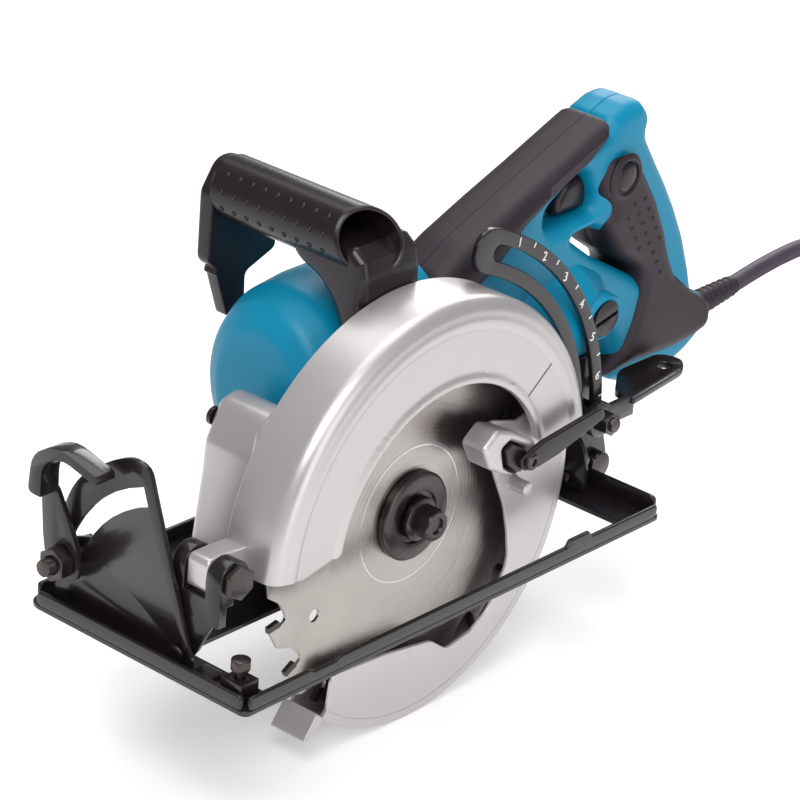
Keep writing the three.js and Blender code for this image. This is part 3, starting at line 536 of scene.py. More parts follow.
SILVER = finish("silver_paint", (0.52, 0.488, 0.492), 0.34, metal=0.62, grain=2600, grain_depth=0.06,
                blotch=0.05, fleck=0.6, coat=0.25, coat_rough=0.25)
TEAL = finish("teal_plastic", (0.0, 0.225, 0.385), 0.4, grain=1500, grain_depth=0.12, blotch=0.06,
              specular=0.3)
RUBBER = finish("black_rubber", (0.022, 0.013, 0.020), 0.48, grain=1900, grain_depth=0.3, blotch=0.2,
                specular=0.38)
PLASTIC = finish("black_plastic", (0.011, 0.007, 0.010), 0.27, grain=1100, grain_depth=0.1, blotch=0.2,
                 specular=0.4)
ENAMEL = finish("black_enamel", (0.012, 0.009, 0.010), 0.24, grain=700, grain_depth=0.15, blotch=0.2,
                coat=0.3, coat_rough=0.1, specular=0.35)
BLADE = finish("blade_steel", (0.42, 0.39, 0.37), 0.26, metal=1.0, grain=800, grain_depth=0.25, blotch=0.16,
               brushed=(0.0, ARBOR_Z * MM, 5200.0))
DARK_STEEL = finish("dark_steel", (0.075, 0.065, 0.062), 0.27, metal=0.9, grain=1200, grain_depth=0.15,
                    blotch=0.2)
BRIGHT = finish("bright_steel", (0.6, 0.6, 0.61), 0.22, metal=1.0, grain=1500, grain_depth=0.1, blotch=0.08)
COPPER = finish("copper_winding", (0.55, 0.24, 0.12), 0.35, metal=0.9, grain=700, grain_depth=0.3,
                blotch=0.2)
CORD = finish("cord_rubber", (0.05, 0.036, 0.055), 0.5, grain=1300, grain_depth=0.2, blotch=0.15)
WHITE = finish("white_print", (0.86, 0.86, 0.86), 0.5, grain=900, grain_depth=0.05, blotch=0.04)
PRINT = finish("black_print", (0.03, 0.025, 0.025), 0.5, grain=900, grain_depth=0.05, blotch=0.1)
FLOOR = finish("floor_paper", (0.9, 0.9, 0.9), 0.7, grain=120, grain_depth=0.02, blotch=0.01, glow=0.28)

SLOT_PAINT = {
    "silver_paint": SILVER, "teal_plastic": TEAL, "black_rubber": RUBBER, "black_plastic": PLASTIC,
    "black_steel": ENAMEL, "blade_steel": BLADE, "dark_steel": DARK_STEEL, "bright_steel": BRIGHT,
    "copper": COPPER, "cord_rubber": CORD}


# ---- Camera and light ----

CAMERA_TURN = (-50.441, 24.845, 4.679)
CAMERA_AT = (-1108.1, -905.2, 752.3)
CAMERA_LENS = 159.26


def camera():
    """The view from the blade side and front: azimuth, elevation and a slight roll."""
    azimuth, elevation, roll = np.radians(CAMERA_TURN)
    back = np.array([np.sin(azimuth) * np.cos(elevation), -np.cos(azimuth) * np.cos(elevation),
                     np.sin(elevation)])
    right = np.cross(-back, [0, 0, 1])
    right /= np.linalg.norm(right)
    up = np.cross(right, -back)
    right, up = right * np.cos(roll) + up * np.sin(roll), up * np.cos(roll) - right * np.sin(roll)
    data = bpy.data.cameras.new("camera")
    data.lens, data.sensor_width, data.clip_end = CAMERA_LENS, 36.0, 50.0
    seen = shown("camera", data)
    at = place(CAMERA_AT)
    seen.matrix_world = Matrix([[right[k], up[k], back[k], at[k]] for k in range(3)] + [[0, 0, 0, 1]])
    bpy.context.scene.camera = seen


def soft_light(name, at, size, power, aim=(40, 20, 60)):
    """A white area light of this size in metres and power in watts, pointed at the saw."""
    data = bpy.data.lights.new(name, "AREA")
    data.shape, data.size, data.size_y, data.energy = "RECTANGLE", size[0], size[1], power
    lamp = shown(name, data)
    lamp.location = place(at)
    lamp.rotation_euler = (Vector(place(aim)) - lamp.location).to_track_quat("-Z", "Y").to_euler()


def studio():
    """A white surround, four soft lights and a sheet of paper under the saw."""
    world = bpy.data.worlds.new("studio")
    bpy.context.scene.world = world
    world.use_nodes = True
    sky = world.node_tree.nodes["Background"]
    sky.inputs["Color"].default_value = (1, 1, 1, 1)
    sky.inputs["Strength"].default_value = 0.33
    soft_light("key", (-900, -500, 1300), (0.9, 0.9), 17)
    soft_light("side", (-300, -1500, 500), (0.8, 1.2), 6)
    soft_light("top", (300, 300, 1500), (1.2, 1.2), 11)
    soft_light("rear", (1300, 700, 900), (0.8, 0.8), 9)
    half = 6000
    paper = piece("floor", [[-half, -half, FLOOR_Z], [half, -half, FLOOR_Z], [half, half, FLOOR_Z],
                            [-half, half, FLOOR_Z]], [[0, 1, 2, 3]], FLOOR)
    bpy.context.scene.view_settings.view_transform = "Standard"


camera()
studio()

# ---- Mains cord ----

COIL_AT = np.array([490.0, -6.0])
COIL_R = 50.0
LAYER_PITCH = 9.3
RUN = [
    [302.4, 44, 50], [325, 44, 53.2], [347, 44.3, 54.8], [368, 45, 54], [388, 46, 48], [403, 47.2, 32],
    [411, 48.6, 8], [415, 50, -18], [422, 51.4, -42], [434, 52.6, -57], [446, 53.3, FLOOR_Z + 5.2],
    [462, 53.4, FLOOR_Z + 4.6], [476, 53.4, FLOOR_Z + 4.6]]


def through(points, per=8):
    """A smooth line through points: the Catmull-Rom cubic of each four neighbours."""
    p = np.asarray(points, float)
    p = np.concatenate([[2 * p[0] - p[1]], p, [2 * p[-1] - p[-2]]])
    s = np.linspace(0, 1, per, endpoint=False)[:, None]
    a, b, c, d = p[:-3, None], p[1:-2, None], p[2:-1, None], p[3:, None]
    square, cube = 2 * a - 5 * b + 4 * c - d, 3 * b - a - 3 * c + d
    line = 0.5 * (2 * b + (c - a) * s + square * s ** 2 + cube * s ** 3)
    return np.concatenate([line.reshape(-1, 3), p[-2:-1]])


def smooth(t):
    """0 below 0, 1 above 1, and 3t^2 - 2t^3 between."""
    t = np.clip(t, 0, 1)
    return t * t * (3 - 2 * t)


def coil_line(turns):
    """The coil, clockwise from above, from angle 90 degrees.

    Radius and height per turn: three turns inwards on the floor, back out on the second layer and in on the
    third. A turn moves to the next one's radius between 68% and 95% of its length, and climbs a layer
    between 30% and 55%.
    """
    cells = [1, 0, -1, 0, 1, 0, -1]
    radii = COIL_R + LAYER_PITCH * np.array(cells + [0])
    t = np.linspace(0, turns, int(turns * 40))
    k = np.minimum(t.astype(int), len(cells) - 1)
    part = t - k
    radius = radii[k] + (radii[k + 1] - radii[k]) * smooth((part - 0.68) / 0.27)
    layer = smooth((t - 2.3) / 0.25) + smooth((t - 4.3) / 0.25)
    angle = np.radians(90) - 2 * np.pi * t
    return np.stack([COIL_AT[0] + radius * np.cos(angle), COIL_AT[1] + radius * np.sin(angle),
                     FLOOR_Z + 4.6 + LAYER_PITCH * layer], -1)


PLUG_BOX = [(np.array(c) - place([0, 0, 0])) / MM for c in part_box("plug")]
PLUG_Y, PLUG_Z = [(PLUG_BOX[0][k] + PLUG_BOX[1][k]) / 2 for k in (1, 2)]


def cord():
    """The cord out of the handle, down to the floor, round its coil and up to the plug that lies on it."""
    turns = 6.36
    coil = coil_line(turns)
    mouth = np.array([516.0, PLUG_Y, PLUG_Z])
    lead = coil[-1] - coil[-4]
    lead /= np.linalg.norm(lead)
    gap = np.linalg.norm(mouth - coil[-1])
    s = np.linspace(0, 1, 18)[1:, None]
    ahead = coil[-1] + lead * gap * 0.4
    behind = mouth + np.array([gap * 0.45, 0, 0])
    rise = ((1 - s) ** 3 * coil[-1] + 3 * s * (1 - s) ** 2 * ahead
            + 3 * s ** 2 * (1 - s) * behind + s ** 3 * mouth)
    line = np.concatenate([through(RUN), coil[1:], rise])
    curve = bpy.data.curves.new("cord", "CURVE")
    curve.dimensions, curve.use_fill_caps = "3D", True
    curve.bevel_depth, curve.bevel_resolution = CORD_D / 2 * MM, 5
    spline = curve.splines.new("POLY")
    spline.points.add(len(line) - 1)
    placed = place(line)
    spline.points.foreach_set("co", np.concatenate([placed, np.ones((len(line), 1))], 1).ravel())
    spline.use_smooth = True
    made = shown("cord", curve)
    curve.materials.append(CORD)
    stands_for(made, ["cord_run", "cord_coil"])


cord()

# ---- Blade, flanges and bolt ----

TEETH = 20
TOOTH_ANGLE = 360 / TEETH


def blade():
    """A disc with 20 hooked teeth, round gullets, four curled expansion slots and carbide tips."""
    rim = []
    for tip in 180 - TOOTH_ANGLE * np.arange(TEETH):
        rim += [polar(BLADE_R - 0.6, tip).tolist(), [*polar(BLADE_R - 12.5, tip + 1.2), 3.5],
                [*polar(BLADE_R - 9.5, tip - TOOTH_ANGLE * 0.36), 5],
                [*polar(BLADE_R - 2.6, tip - TOOTH_ANGLE * 0.6), 2]]
    slots = []
    for at in (27, 117, 207, 297):
        slots.append(arc(3.2, 0, 330, 12, *polar(BLADE_R - 27, at)))
    disc = slab("blade_disc", rim, -0.75, 0.75, soft=(0.12, 0.12), holes=slots, paint=BLADE, step=1.5)
    stands_for(disc, "saw_blade")
    points, faces = [], []
    for k, tip in enumerate(180 - TOOTH_ANGLE * np.arange(TEETH)):
        corners = [polar(BLADE_R, tip + 0.1), polar(BLADE_R - 7.5, tip + 0.9),
                   polar(BLADE_R - 7.2, tip - 1.3), polar(BLADE_R - 0.5, tip - 1.6)]
        for y in (-1.15, 1.15):
            points += [[u, y, v] for u, v in corners]
        box = [[0, 1, 2, 3], [4, 5, 6, 7], [0, 1, 5, 4], [1, 2, 6, 5], [2, 3, 7, 6], [3, 0, 4, 7]]
        faces += [[i + 8 * k for i in f] for f in box]
    goes_with(piece("carbide_tips", points, faces, DARK_STEEL), "saw_blade")
    sweep = rounded(arc(59.4, 122, 92, 12) + arc(58.2, 92, 122, 12), step=3)
    arrow = slab("turning_arrow", sweep.tolist(), -0.80, -0.72, soft=(0, 0), paint=PRINT)
    goes_with(arrow, "saw_blade")
    head = [polar(58.8, 124.5).tolist(), polar(61.3, 120.6).tolist(), polar(56.3, 120.6).tolist()]
    goes_with(slab("arrow_head", head, -0.80, -0.72, soft=(0, 0), paint=PRINT), "saw_blade")
    dial = rounded(arc(33.6, 0, 355, 72), step=3)
    goes_with(slab("polished_ring", dial.tolist(), -0.79, -0.7, soft=(0, 0), paint=BRIGHT,
                   holes=[arc(33.0, 0, 355, 72)]), "saw_blade")


def clamp_parts():
    """Outer flange with a stepped, dished face, its washer and the six-sided arbor bolt."""
    centre = (0, 0, ARBOR_Z)
    flange_profile = [(0, -4.4), (12.5, -4.4), (13.2, -5.6), (14.2, -5.8), (19.6, -5.5), (20.9, -5.0),
        (21.5, -4.2), (21.5, -1.25), (0, -1.25)]
    flange = lathe("clamp_flange", flange_profile, centre, paint=DARK_STEEL)
    stands_for(flange, "outer_flange")
    washer_profile = [(0, -8.9), (9.2, -8.9), (10.3, -8.3), (10.5, -7.6), (10.5, -6.1), (0, -6.1)]
    washer = lathe("bolt_washer", washer_profile, centre, paint=DARK_STEEL)
    head_profile = [(0, -16.4), (3.6, -16.4), (4.0, -17.6), (5.4, -17.9), (6.6, -17.7), (7.6, -16.9),
        (8.0, -16.0), (8.0, -8.8), (0, -8.8)]
    head = lathe("bolt_head", head_profile, centre, sides=96, facets=(6, 8.0), paint=DARK_STEEL, sharp=25,
                 spin=np.radians(12))
    stands_for(head, "arbor_bolt")
    goes_with(washer, "arbor_bolt")


# ---- Upper blade case ----

def wall_round(name, section, start, end, sharp):
    """A silver wall: a closed section (radius, y) carried round the arbor from one angle to another."""
    angle = np.linspace(start, end, 110)
    ring = np.stack([polar(r, angle) for r, _ in section], 1)
    depth = np.repeat(section[None, :, 1], len(angle), 0)
    points = np.stack([ring[..., 0], depth, ring[..., 1]], -1).reshape(-1, 3)
    faces = strip(len(angle), len(section), False, True) + closed_ends(len(angle), len(section))
    return piece(name, points, faces, SILVER, sharp=sharp)


def blade_case():
    """Rim: a wall with a wide rounded shoulder carried round an arc. Cheek: a flat plate with a raised lip
    round its opening. Far wall and lug behind."""
    shoulder = 8.0
    turn = np.radians(np.linspace(0, 90, 10))
    outer = np.stack([CASE_R - shoulder + shoulder * np.sin(turn),
                      CASE_NEAR + shoulder * (1 - np.cos(turn))], -1)
    inner = np.stack([CASE_R - shoulder + (shoulder - 2.5) * np.sin(turn[::-1]),
                      CASE_NEAR + shoulder - (shoulder - 2.5) * np.cos(turn[::-1])], -1)
    bead = [(CASE_R - 14.5, CASE_NEAR), (CASE_R - 13.4, CASE_NEAR - 0.5), (CASE_R - 11.0, CASE_NEAR - 0.9),
            (CASE_R - 9.2, CASE_NEAR - 0.5)]
    far_edge = [(CASE_R, CASE_FAR - 0.6), (CASE_R - 0.6, CASE_FAR), (CASE_R - 2.5, CASE_FAR)]
    section = np.concatenate([bead, outer, far_edge, inner, [(CASE_R - 14.5, CASE_NEAR + 2.5)]])
    rim = wall_round("case_rim", section, 12.4, 177, sharp=40)
    stands_for(rim, "blade_case")

    ox, oz, radius = OPENING

    def lip(flat):
        """A ridge 1.3 mm high, from just inside the opening's edge to 3 mm or so outside it."""
        away = np.hypot(flat[:, 0] - ox, flat[:, 1] - oz) - radius
        return 1.3 * smooth((4.6 - away) / 1.6) * smooth((away + 1.4) / 1.4)

    outline = (arc(CASE_R - 13.6, 12.4, 177, 60)
               + [[-103.4, 40.2], [-89.3, 37.2, 4], [-74, 40.3, 4]] + arc(radius, 172, 21, 60, ox, oz)
               + [[76.8, 49.2, 3], [86.3, 54.6]])
    cheek = slab("case_cheek", outline, CASE_NEAR, CASE_NEAR + 2.5, soft=(0.9, 0.3), paint=SILVER, grid=1.6,
                 relief=(lip, None), step=1.2)
    goes_with(cheek, "blade_case")
    far_outline = arc(CASE_R - 1, 13, 177, 60) + [[-100, 30, 4], [-26, 14, 8], [26, 14, 8], [90, 45, 4]]
    far = slab("case_far_wall", far_outline, CASE_FAR - 2.8, CASE_FAR, soft=(0.4, 0.4),
               holes=[arc(17.8, 0, 350, 30)], paint=SILVER)
    goes_with(far, "blade_case")
    boss_profile = [(17.8, 6.8), (21, 6.8), (21.5, 7.3), (21.5, 11), (17.8, 11)]
    boss = lathe("case_boss", boss_profile, (0, 0, ARBOR_Z), closed=True, paint=SILVER)
    goes_with(boss, "blade_case")
    lug_outline = [[-130, 45, 8], [-130, 53, 8], [-118, 53, 3], [-101, 52], [-101, 36], [-118, 37, 3],
        [-130, 37, 8]]
    lug = slab("case_lug", lug_outline, 1, CASE_FAR, soft=(1.2, 1.2),
               holes=[arc(4.3, 0, 340, 18, -122, 45)], paint=SILVER, step=1.2)
    goes_with(lug, "blade_case")
    # Parting line from the rim to the opening, and the white depth mark on the cheek
    line = np.stack([polar(r, 40.0 - 0.012 * (r - 70)) for r in np.linspace(72, 94, 12)])
    path = np.stack([line[:, 0], np.full(12, CASE_NEAR - 0.02), line[:, 1]], -1)
    goes_with(swept("parting_line", path, circle(0.28, 8), DARK_STEEL, side=(0, 1, 0)), "blade_case")
    mark = [[93.2, 68.6], [94.2, 68.4], [90.4, 54.9], [89.4, 55.2]]
    goes_with(slab("cutting_mark", mark, CASE_NEAR - 0.25, CASE_NEAR + 0.3, soft=(0, 0), paint=WHITE),
              "blade_case")


# ---- Lower guard ----

def lower_guard():
    """A rim round the arbor, a wide near cheek and a far plate, with the lever block raised on the cheek."""
    section = np.array([(GUARD_R - 5, GUARD_NEAR), (GUARD_R - 1.6, GUARD_NEAR),
                        (GUARD_R - 0.5, GUARD_NEAR + 0.5), (GUARD_R, GUARD_NEAR + 1.6),
                        (GUARD_R, GUARD_FAR - 1.6), (GUARD_R - 0.5, GUARD_FAR - 0.5),
                        (GUARD_R - 1.6, GUARD_FAR), (GUARD_R - 5, GUARD_FAR),
                        (GUARD_R - 5, GUARD_FAR - 1.6), (GUARD_R - 1.6, GUARD_FAR - 1.6),
                        (GUARD_R - 1.6, GUARD_NEAR + 1.6), (GUARD_R - 5, GUARD_NEAR + 1.6)])
    stands_for(wall_round("guard_rim", section, -128, 24, sharp=50), "lower_guard")
    near_outline = arc(GUARD_R - 4.8, -128, 24, 70) + [[60, 66, 4], [40, 72, 6], [32, 62, 6], [40.9, 54.1],
        [48.6, 38.9, 30], [56.4, 23.5, 30], [60.5, 9.1, 30], [63.5, -7.7, 14], [52.5, -28.8, 12],
        [40.4, -36.7, 8], [22.9, -39.9, 8], [11.3, -31.5, 10], [-20, -27, 10], [-56.9, -24.5, 5]]
    near = slab("guard_cheek", near_outline, GUARD_NEAR, GUARD_NEAR + 1.6, soft=(0.6, 0.3), paint=SILVER,
                step=1.5)
    far_outline = arc(GUARD_R - 4.8, -128, 24, 70) + [[48, 62, 6], [22, 56, 8], [-22, 12, 20],
        [-36, -30, 10], [-52, -44, 6]]
    far = slab("guard_far_plate", far_outline, GUARD_FAR - 1.6, GUARD_FAR, soft=(0.3, 0.5), paint=SILVER,
               holes=[arc(22, 0, 350, 40)])
    lip_outline = [polar(GUARD_R - 1.2, -127).tolist(), polar(GUARD_R - 1.2, -131).tolist(), [-74, -53, 2],
        [-70, -52.5, 2]]
    lip = slab("guard_lip", lip_outline, GUARD_NEAR, GUARD_FAR, soft=(0.5, 0.5), paint=SILVER)
    socket = [[34.3, 64, 1.5], [40, 66.6, 1.5], [53.6, 59.0, 1.5], [51.8, 50.6, 1.5], [46, 47.4, 1.5],
              [37.2, 54, 1.5]]
    block_outline = [[20.8, 67.5, 3], [30.4, 74.6, 4], [40.8, 70.9, 3], [59.6, 60.5, 4], [57.4, 50.5, 4],
        [48.4, 46.5, 4], [36, 51, 4], [26.6, 56, 4]]
    block = slab("lever_block", block_outline, -24, GUARD_NEAR + 0.5, soft=(2.2, 0.2), holes=[socket],
                 paint=SILVER, step=1.0)
    boss_profile = [(0, -20.5), (2.6, -20.5), (3.3, -20.1), (3.5, -19.3), (3.6, -12.5), (4.6, -10.6),
        (0, -10.6)]
    boss = lathe("guard_boss", boss_profile, (61, 0, 34), paint=SILVER)
    for part in (near, far, lip, block, boss):
        goes_with(part, "lower_guard")
    arm_outline = [[44, 56, 2], [60, 61.2, 6], [103, 66, 3], [106, 60, 3], [72, 51, 6], [58, 49, 3],
        [48, 50, 3]]
    arm = slab("guard_arm", arm_outline, -27.4, -24.3, soft=(0.9, 0.9), paint=PLASTIC, step=1.2)
    stands_for(arm, "guard_lever")
    foot_outline = [[36.3, 63], [41, 64.8, 1], [51.8, 58.3, 1], [50.3, 51.2, 1], [46, 49.2, 1], [38.7, 55]]
    foot = slab("arm_foot", foot_outline, -24.4, -14.4, soft=(0.6, 0.3), paint=PLASTIC)
    goes_with(foot, "guard_lever")
    screw_profile = [(0, -28.9), (1.7, -28.9), (1.9, -29.8), (3.2, -29.9), (4.0, -29.3), (4.2, -28.4),
        (4.2, -27.8), (0, -27.8)]
    screw = lathe("arm_screw", screw_profile, (51, 0, 54.5), paint=DARK_STEEL)
    stands_for(screw, "lever_screw")


# ---- Gear housing, front cover and motor ----

def housings():
    """Cast gear housing in two stepped boxes with a seam, the teal cover and the teal motor barrel."""
    lower_outline = [[-79, 20, 5], [-74, 56, 4], [-73, 71, 8], [-64, 89, 8], [-50.5, 92, 6], [-48, 77.7],
        [52, 77.7], [52, 22, 8], [30, 12, 8], [-30, 12, 8], [-60, 16, 6]]
    lower = slab("gear_box", lower_outline, 24.4, 62, soft=(1.0, 5.0), paint=SILVER, step=1.5)
    stands_for(lower, "gear_housing")
    inner_outline = [[-78, 20, 5], [-80, 50, 6], [-87, 57, 6], [-80, 92, 12], [-50, 110, 12], [0, 111, 8],
        [38, 98, 8], [52, 77.7], [52, 22, 8], [30, 12, 8], [-30, 12, 8], [-60, 16, 6]]
    inner = slab("gear_box_near", inner_outline, CASE_FAR + 0.3, 24.1, soft=(2.0, 2.2), paint=SILVER,
                 step=1.5)
    goes_with(inner, "gear_housing")
    seam_outline = [[-78, 21, 4], [-73.4, 56, 3], [-72.5, 71, 6], [-63.6, 88, 6], [-50.5, 91, 4],
        [-47, 77], [51, 77], [51, 23, 8], [30, 13, 8], [-30, 13, 8], [-60, 17, 6]]
    seam = slab("housing_seam", seam_outline, 24.0, 24.5, soft=(0, 0), paint=DARK_STEEL)
    goes_with(seam, "gear_housing")
    for x, z in ((-66, 26), (-64, 79), (44, 30)):
        screw_profile = [(0, 62.0), (4.4, 62.0), (4.4, 64.2), (3.4, 65.0), (1.9, 65.0), (1.8, 63.4),
            (0, 63.4)]
        screw = lathe(f"housing_screw_{x}", screw_profile, (x, 0, z), paint=DARK_STEEL)
        goes_with(screw, "gear_housing")
    cover_profile = [(8.8, 66.4), (8.8, 67.6), (9.4, 68), (22.5, 68), (24.8, 67.3), (26, 65.8), (26, 62.3),
        (8.8, 62.3)]
    cover = lathe("end_cover", cover_profile, (0, 0, ARBOR_Z), closed=True, paint=SILVER)
    stands_for(cover, "gear_cover")

    def flat_near(points):
        points = points * np.array([1, 0.84, 1])
        points[:, 1] = np.maximum(points[:, 1], 25.1 - 60)
        return points

    dome_corners = [[0, -42], [30, -41, 12], [41, -36, 12], [47.5, -24, 14], [49.7, -5, 16], [50, 10],
        [50, 45], [49.2, 46], [0, 46]]
    dome = rounded(dome_corners, closed=False, step=1.5)
    cover = lathe("front_dome", dome, (0, 60, 84), axis="x", sides=160, paint=TEAL, clip=flat_near)
    stands_for(cover, "front_cover")

    barrel_corners = [[0, 13], [19, 13, 3], [MOTOR_R, -4, 8], [MOTOR_R, -102], [MOTOR_R - 3, -102],
        [0, -102]]
    barrel = rounded(barrel_corners, closed=False, step=3)
    tilt = in_motor(barrel_points(barrel))
    motor = piece("motor_barrel", tilt, strip(len(barrel), 96, False, True), TEAL)
    stands_for(motor, "motor_housing")


def in_motor(points):
    """From the motor's own lines, X along its shaft, to the design's: a turn about Y and a shift."""
    points = np.asarray(points, float)
    x = points[:, 0] * np.cos(MOTOR_TILT) - points[:, 2] * np.sin(MOTOR_TILT)
    z = points[:, 0] * np.sin(MOTOR_TILT) + points[:, 2] * np.cos(MOTOR_TILT)
    return np.stack([x, points[:, 1], z], -1) + MOTOR_AT


def barrel_points(profile, sides=96):
    """A profile (radius, along) turned round the motor's shaft."""
    t = np.linspace(0, 2 * np.pi, sides, endpoint=False)
    r, h = profile[:, :1], np.repeat(profile[:, 1:2], sides, 1)
    return np.stack([h, r * np.cos(t), r * np.sin(t)], -1).reshape(-1, 3)


def brush_caps():
    """Slotted round caps in oval teal bosses on both sides of the barrel."""
    for side, name in ((-1, "left"), (1, "right")):
        t = np.linspace(0, 2 * np.pi, 60)[:-1]
        oval = np.stack([9 * np.cos(t) * 1.35, 9 * np.sin(t) * 1.1], -1)
        reach = np.array([[1.18, MOTOR_R - 6], [1.12, MOTOR_R - 1.0], [1.04, MOTOR_R + 0.6],
                          [0.95, MOTOR_R + 0.9], [0.86, MOTOR_R + 0.4], [0.84, MOTOR_R - 3]])
        points = np.stack([np.concatenate([oval[:, :1] * k - 3, np.full((len(oval), 1), side * h),
                                           oval[:, 1:] * k], 1)
                           for k, h in reach]).reshape(-1, 3)
        boss = piece(f"cap_boss_{name}", in_motor(points), strip(len(reach), len(oval), False, True), TEAL)
        goes_with(boss, "motor_housing")
        cap = bevelled(f"brush_cap_{name}", 0.4, PLASTIC)
        stands_for(cap, f"brush_cap_{name}")


# ---- Rear handle ----

CREST = [[37, 118, 3], [48.3, 128, 14], [63.9, 137.5, 40], [93.3, 149.6, 40], [123.4, 161.2, 40],
         [146.2, 170.4, 40], [166, 178, 3]]
FINGER_GAP = [[145.5, 155, 5], [130, 146.8, 24], [119.3, 140.5, 7], [121.5, 130.3, 6], [134, 129.2, 10],
              [156.5, 131, 5], [158.8, 137, 6], [152.5, 150.5, 6]]
PALM_GAP = [[141, 121.5, 1.5], [159, 122.8, 4], [191, 105, 14], [213, 79, 2], [205, 83, 3], [163, 106, 8]]
LOCK_AT = (173.8, 146.8)


def rear_handle():
    """Two teal shells that meet on the middle plane, a black spine, studded pads, trigger and button."""
    lowered = [[x + 1.6, z - 3.0, r] for x, z, r in CREST[1:6]]
    outline = lowered + [
        [161.5, 171, 3], [165.5, 177.2, 3], [176, 181, 10], [187.5, 182, 12], [196, 172, 9], [193.5, 163, 9],
        [204.6, 147, 40], [215.8, 131.6, 40], [225.4, 116.7, 40], [234.4, 100.5, 40], [242.4, 81, 30],
        [247, 67, 8], [261, 57, 10], [261, 42, 10], [246, 33, 10], [228, 26, 12], [205, 26, 12], [186, 34, 8],
        [178, 60, 8], [120, 75, 8], [54, 70, 4], [54, 106, 6]]
    spine = CREST[:6] + [[164, 177.6, 4], [163.5, 168, 7], [149.3, 157, 20], [133.8, 150.5, 30],
                         [118.8, 143.5, 30], [104, 135.5, 20], [86, 120, 14], [62, 108, 6], [52, 108, 4]]
    pad = [[157.6, 148, 10], [162, 158.5, 10], [178, 158.5, 12], [191, 146, 16], [204.6, 127, 30],
           [214, 109, 30], [219.5, 95, 14], [226, 83, 10], [246, 67, 10], [261, 58, 8], [261, 44, 10],
           [246, 40.5, 10], [228, 39.5, 12], [201, 41, 12], [169, 38.5, 3], [187.6, 53, 10], [194, 66, 20],
           [198, 82, 20], [196, 92, 14], [178, 104, 12], [163.5, 124, 4], [168.5, 131, 4], [159, 140, 12]]
    for side, y0, y1 in (("left", 28.0, MIDDLE_Y - 0.12), ("right", MIDDLE_Y + 0.12, 60.0)):
        out = side == "left"
        shell = slab(f"shell_{side}", outline, y0, y1, soft=(8.0, 0.4) if out else (0.4, 8.0),
                     holes=[FINGER_GAP, PALM_GAP], paint=TEAL, step=1.6)
        stands_for(shell, f"handle_{side}")
        low, high = (25.0, MIDDLE_Y - 0.12) if out else (MIDDLE_Y + 0.12, 63.0)
        back = slab(f"spine_{side}", spine, low, high, soft=(11.0, 0.0) if out else (0.0, 11.0),
                    paint=RUBBER, step=1.4)
        stands_for(back, f"spine_grip_{side}")
        low, high = (24.8, MIDDLE_Y - 0.1) if out else (MIDDLE_Y + 0.1, 63.2)
        cover = slab(f"grip_{side}", pad, low, high, soft=(7.5, 0.3) if out else (0.3, 7.5), paint=RUBBER,
                     step=1.6)
        stands_for(cover, f"grip_pad_{side}")
        spots = grid_inside(pad, 7.5, 7.2, np.radians(-58), lambda p: (p[:, 1] > 84) & (p[:, 1] < 133)
                            & (np.hypot(p[:, 0] - LOCK_AT[0], p[:, 1] - LOCK_AT[1]) > 18))
        where = np.stack([spots[:, 0], np.full(len(spots), 24.8 if out else 63.2), spots[:, 1]], -1)
        dots = studs(f"grip_studs_{side}", where, np.tile([0, -1.0 if out else 1.0, 0], (len(spots), 1)),
                     1.15, 0.75, RUBBER)
        goes_with(dots, f"grip_pad_{side}")
    trigger_outline = [[152.5, 149.5, 3], [143, 147.5, 6], [135.8, 138, 6], [136.5, 131, 4],
        [160, 130.8, 1], [160, 148.5, 1]]
    trigger = slab("trigger_key", trigger_outline, 36.5, 51.5, soft=(4.5, 4.5), paint=PLASTIC, step=1.0)
    stands_for(trigger, "trigger")
    button_profile = [(0, 23.4), (4.5, 23.6), (6.4, 24.0), (7.4, 24.7), (8.0, 25.8), (8.0, 27), (5, 27),
        (5, 35), (0, 35)]
    button = lathe("lock_disc", button_profile, (LOCK_AT[0], 0, LOCK_AT[1]), paint=PLASTIC)
    stands_for(button, "lock_button")
    collar_profile = [(8.5, 24.3), (8.9, 23.9), (9.8, 23.7), (10.8, 24.1), (12.0, 25.2), (8.5, 25.4)]
    collar = lathe("button_collar", collar_profile, (LOCK_AT[0], 0, LOCK_AT[1]), closed=True, paint=RUBBER)
    goes_with(collar, "grip_pad_left")


def grid_inside(outline, inset, spacing, turn, keep):
    """Points of a staggered grid, turned by an angle, that lie at least inset inside an outline."""
    loop = rounded(outline)
    middle_at = loop.mean(0)
    a = np.arange(-20, 21) * spacing
    u, v = np.meshgrid(a, a, indexing="ij")
    u = u + 0.5 * spacing * (np.arange(len(a)) % 2)[None, :]
    spots = np.stack([u.ravel() * np.cos(turn) - v.ravel() * np.sin(turn),
                      u.ravel() * np.sin(turn) + v.ravel() * np.cos(turn)], -1) + middle_at
    spots = spots[depth_inside(spots, [loop]) > inset]
    return spots[keep(spots)]


# ---- Front handle ----

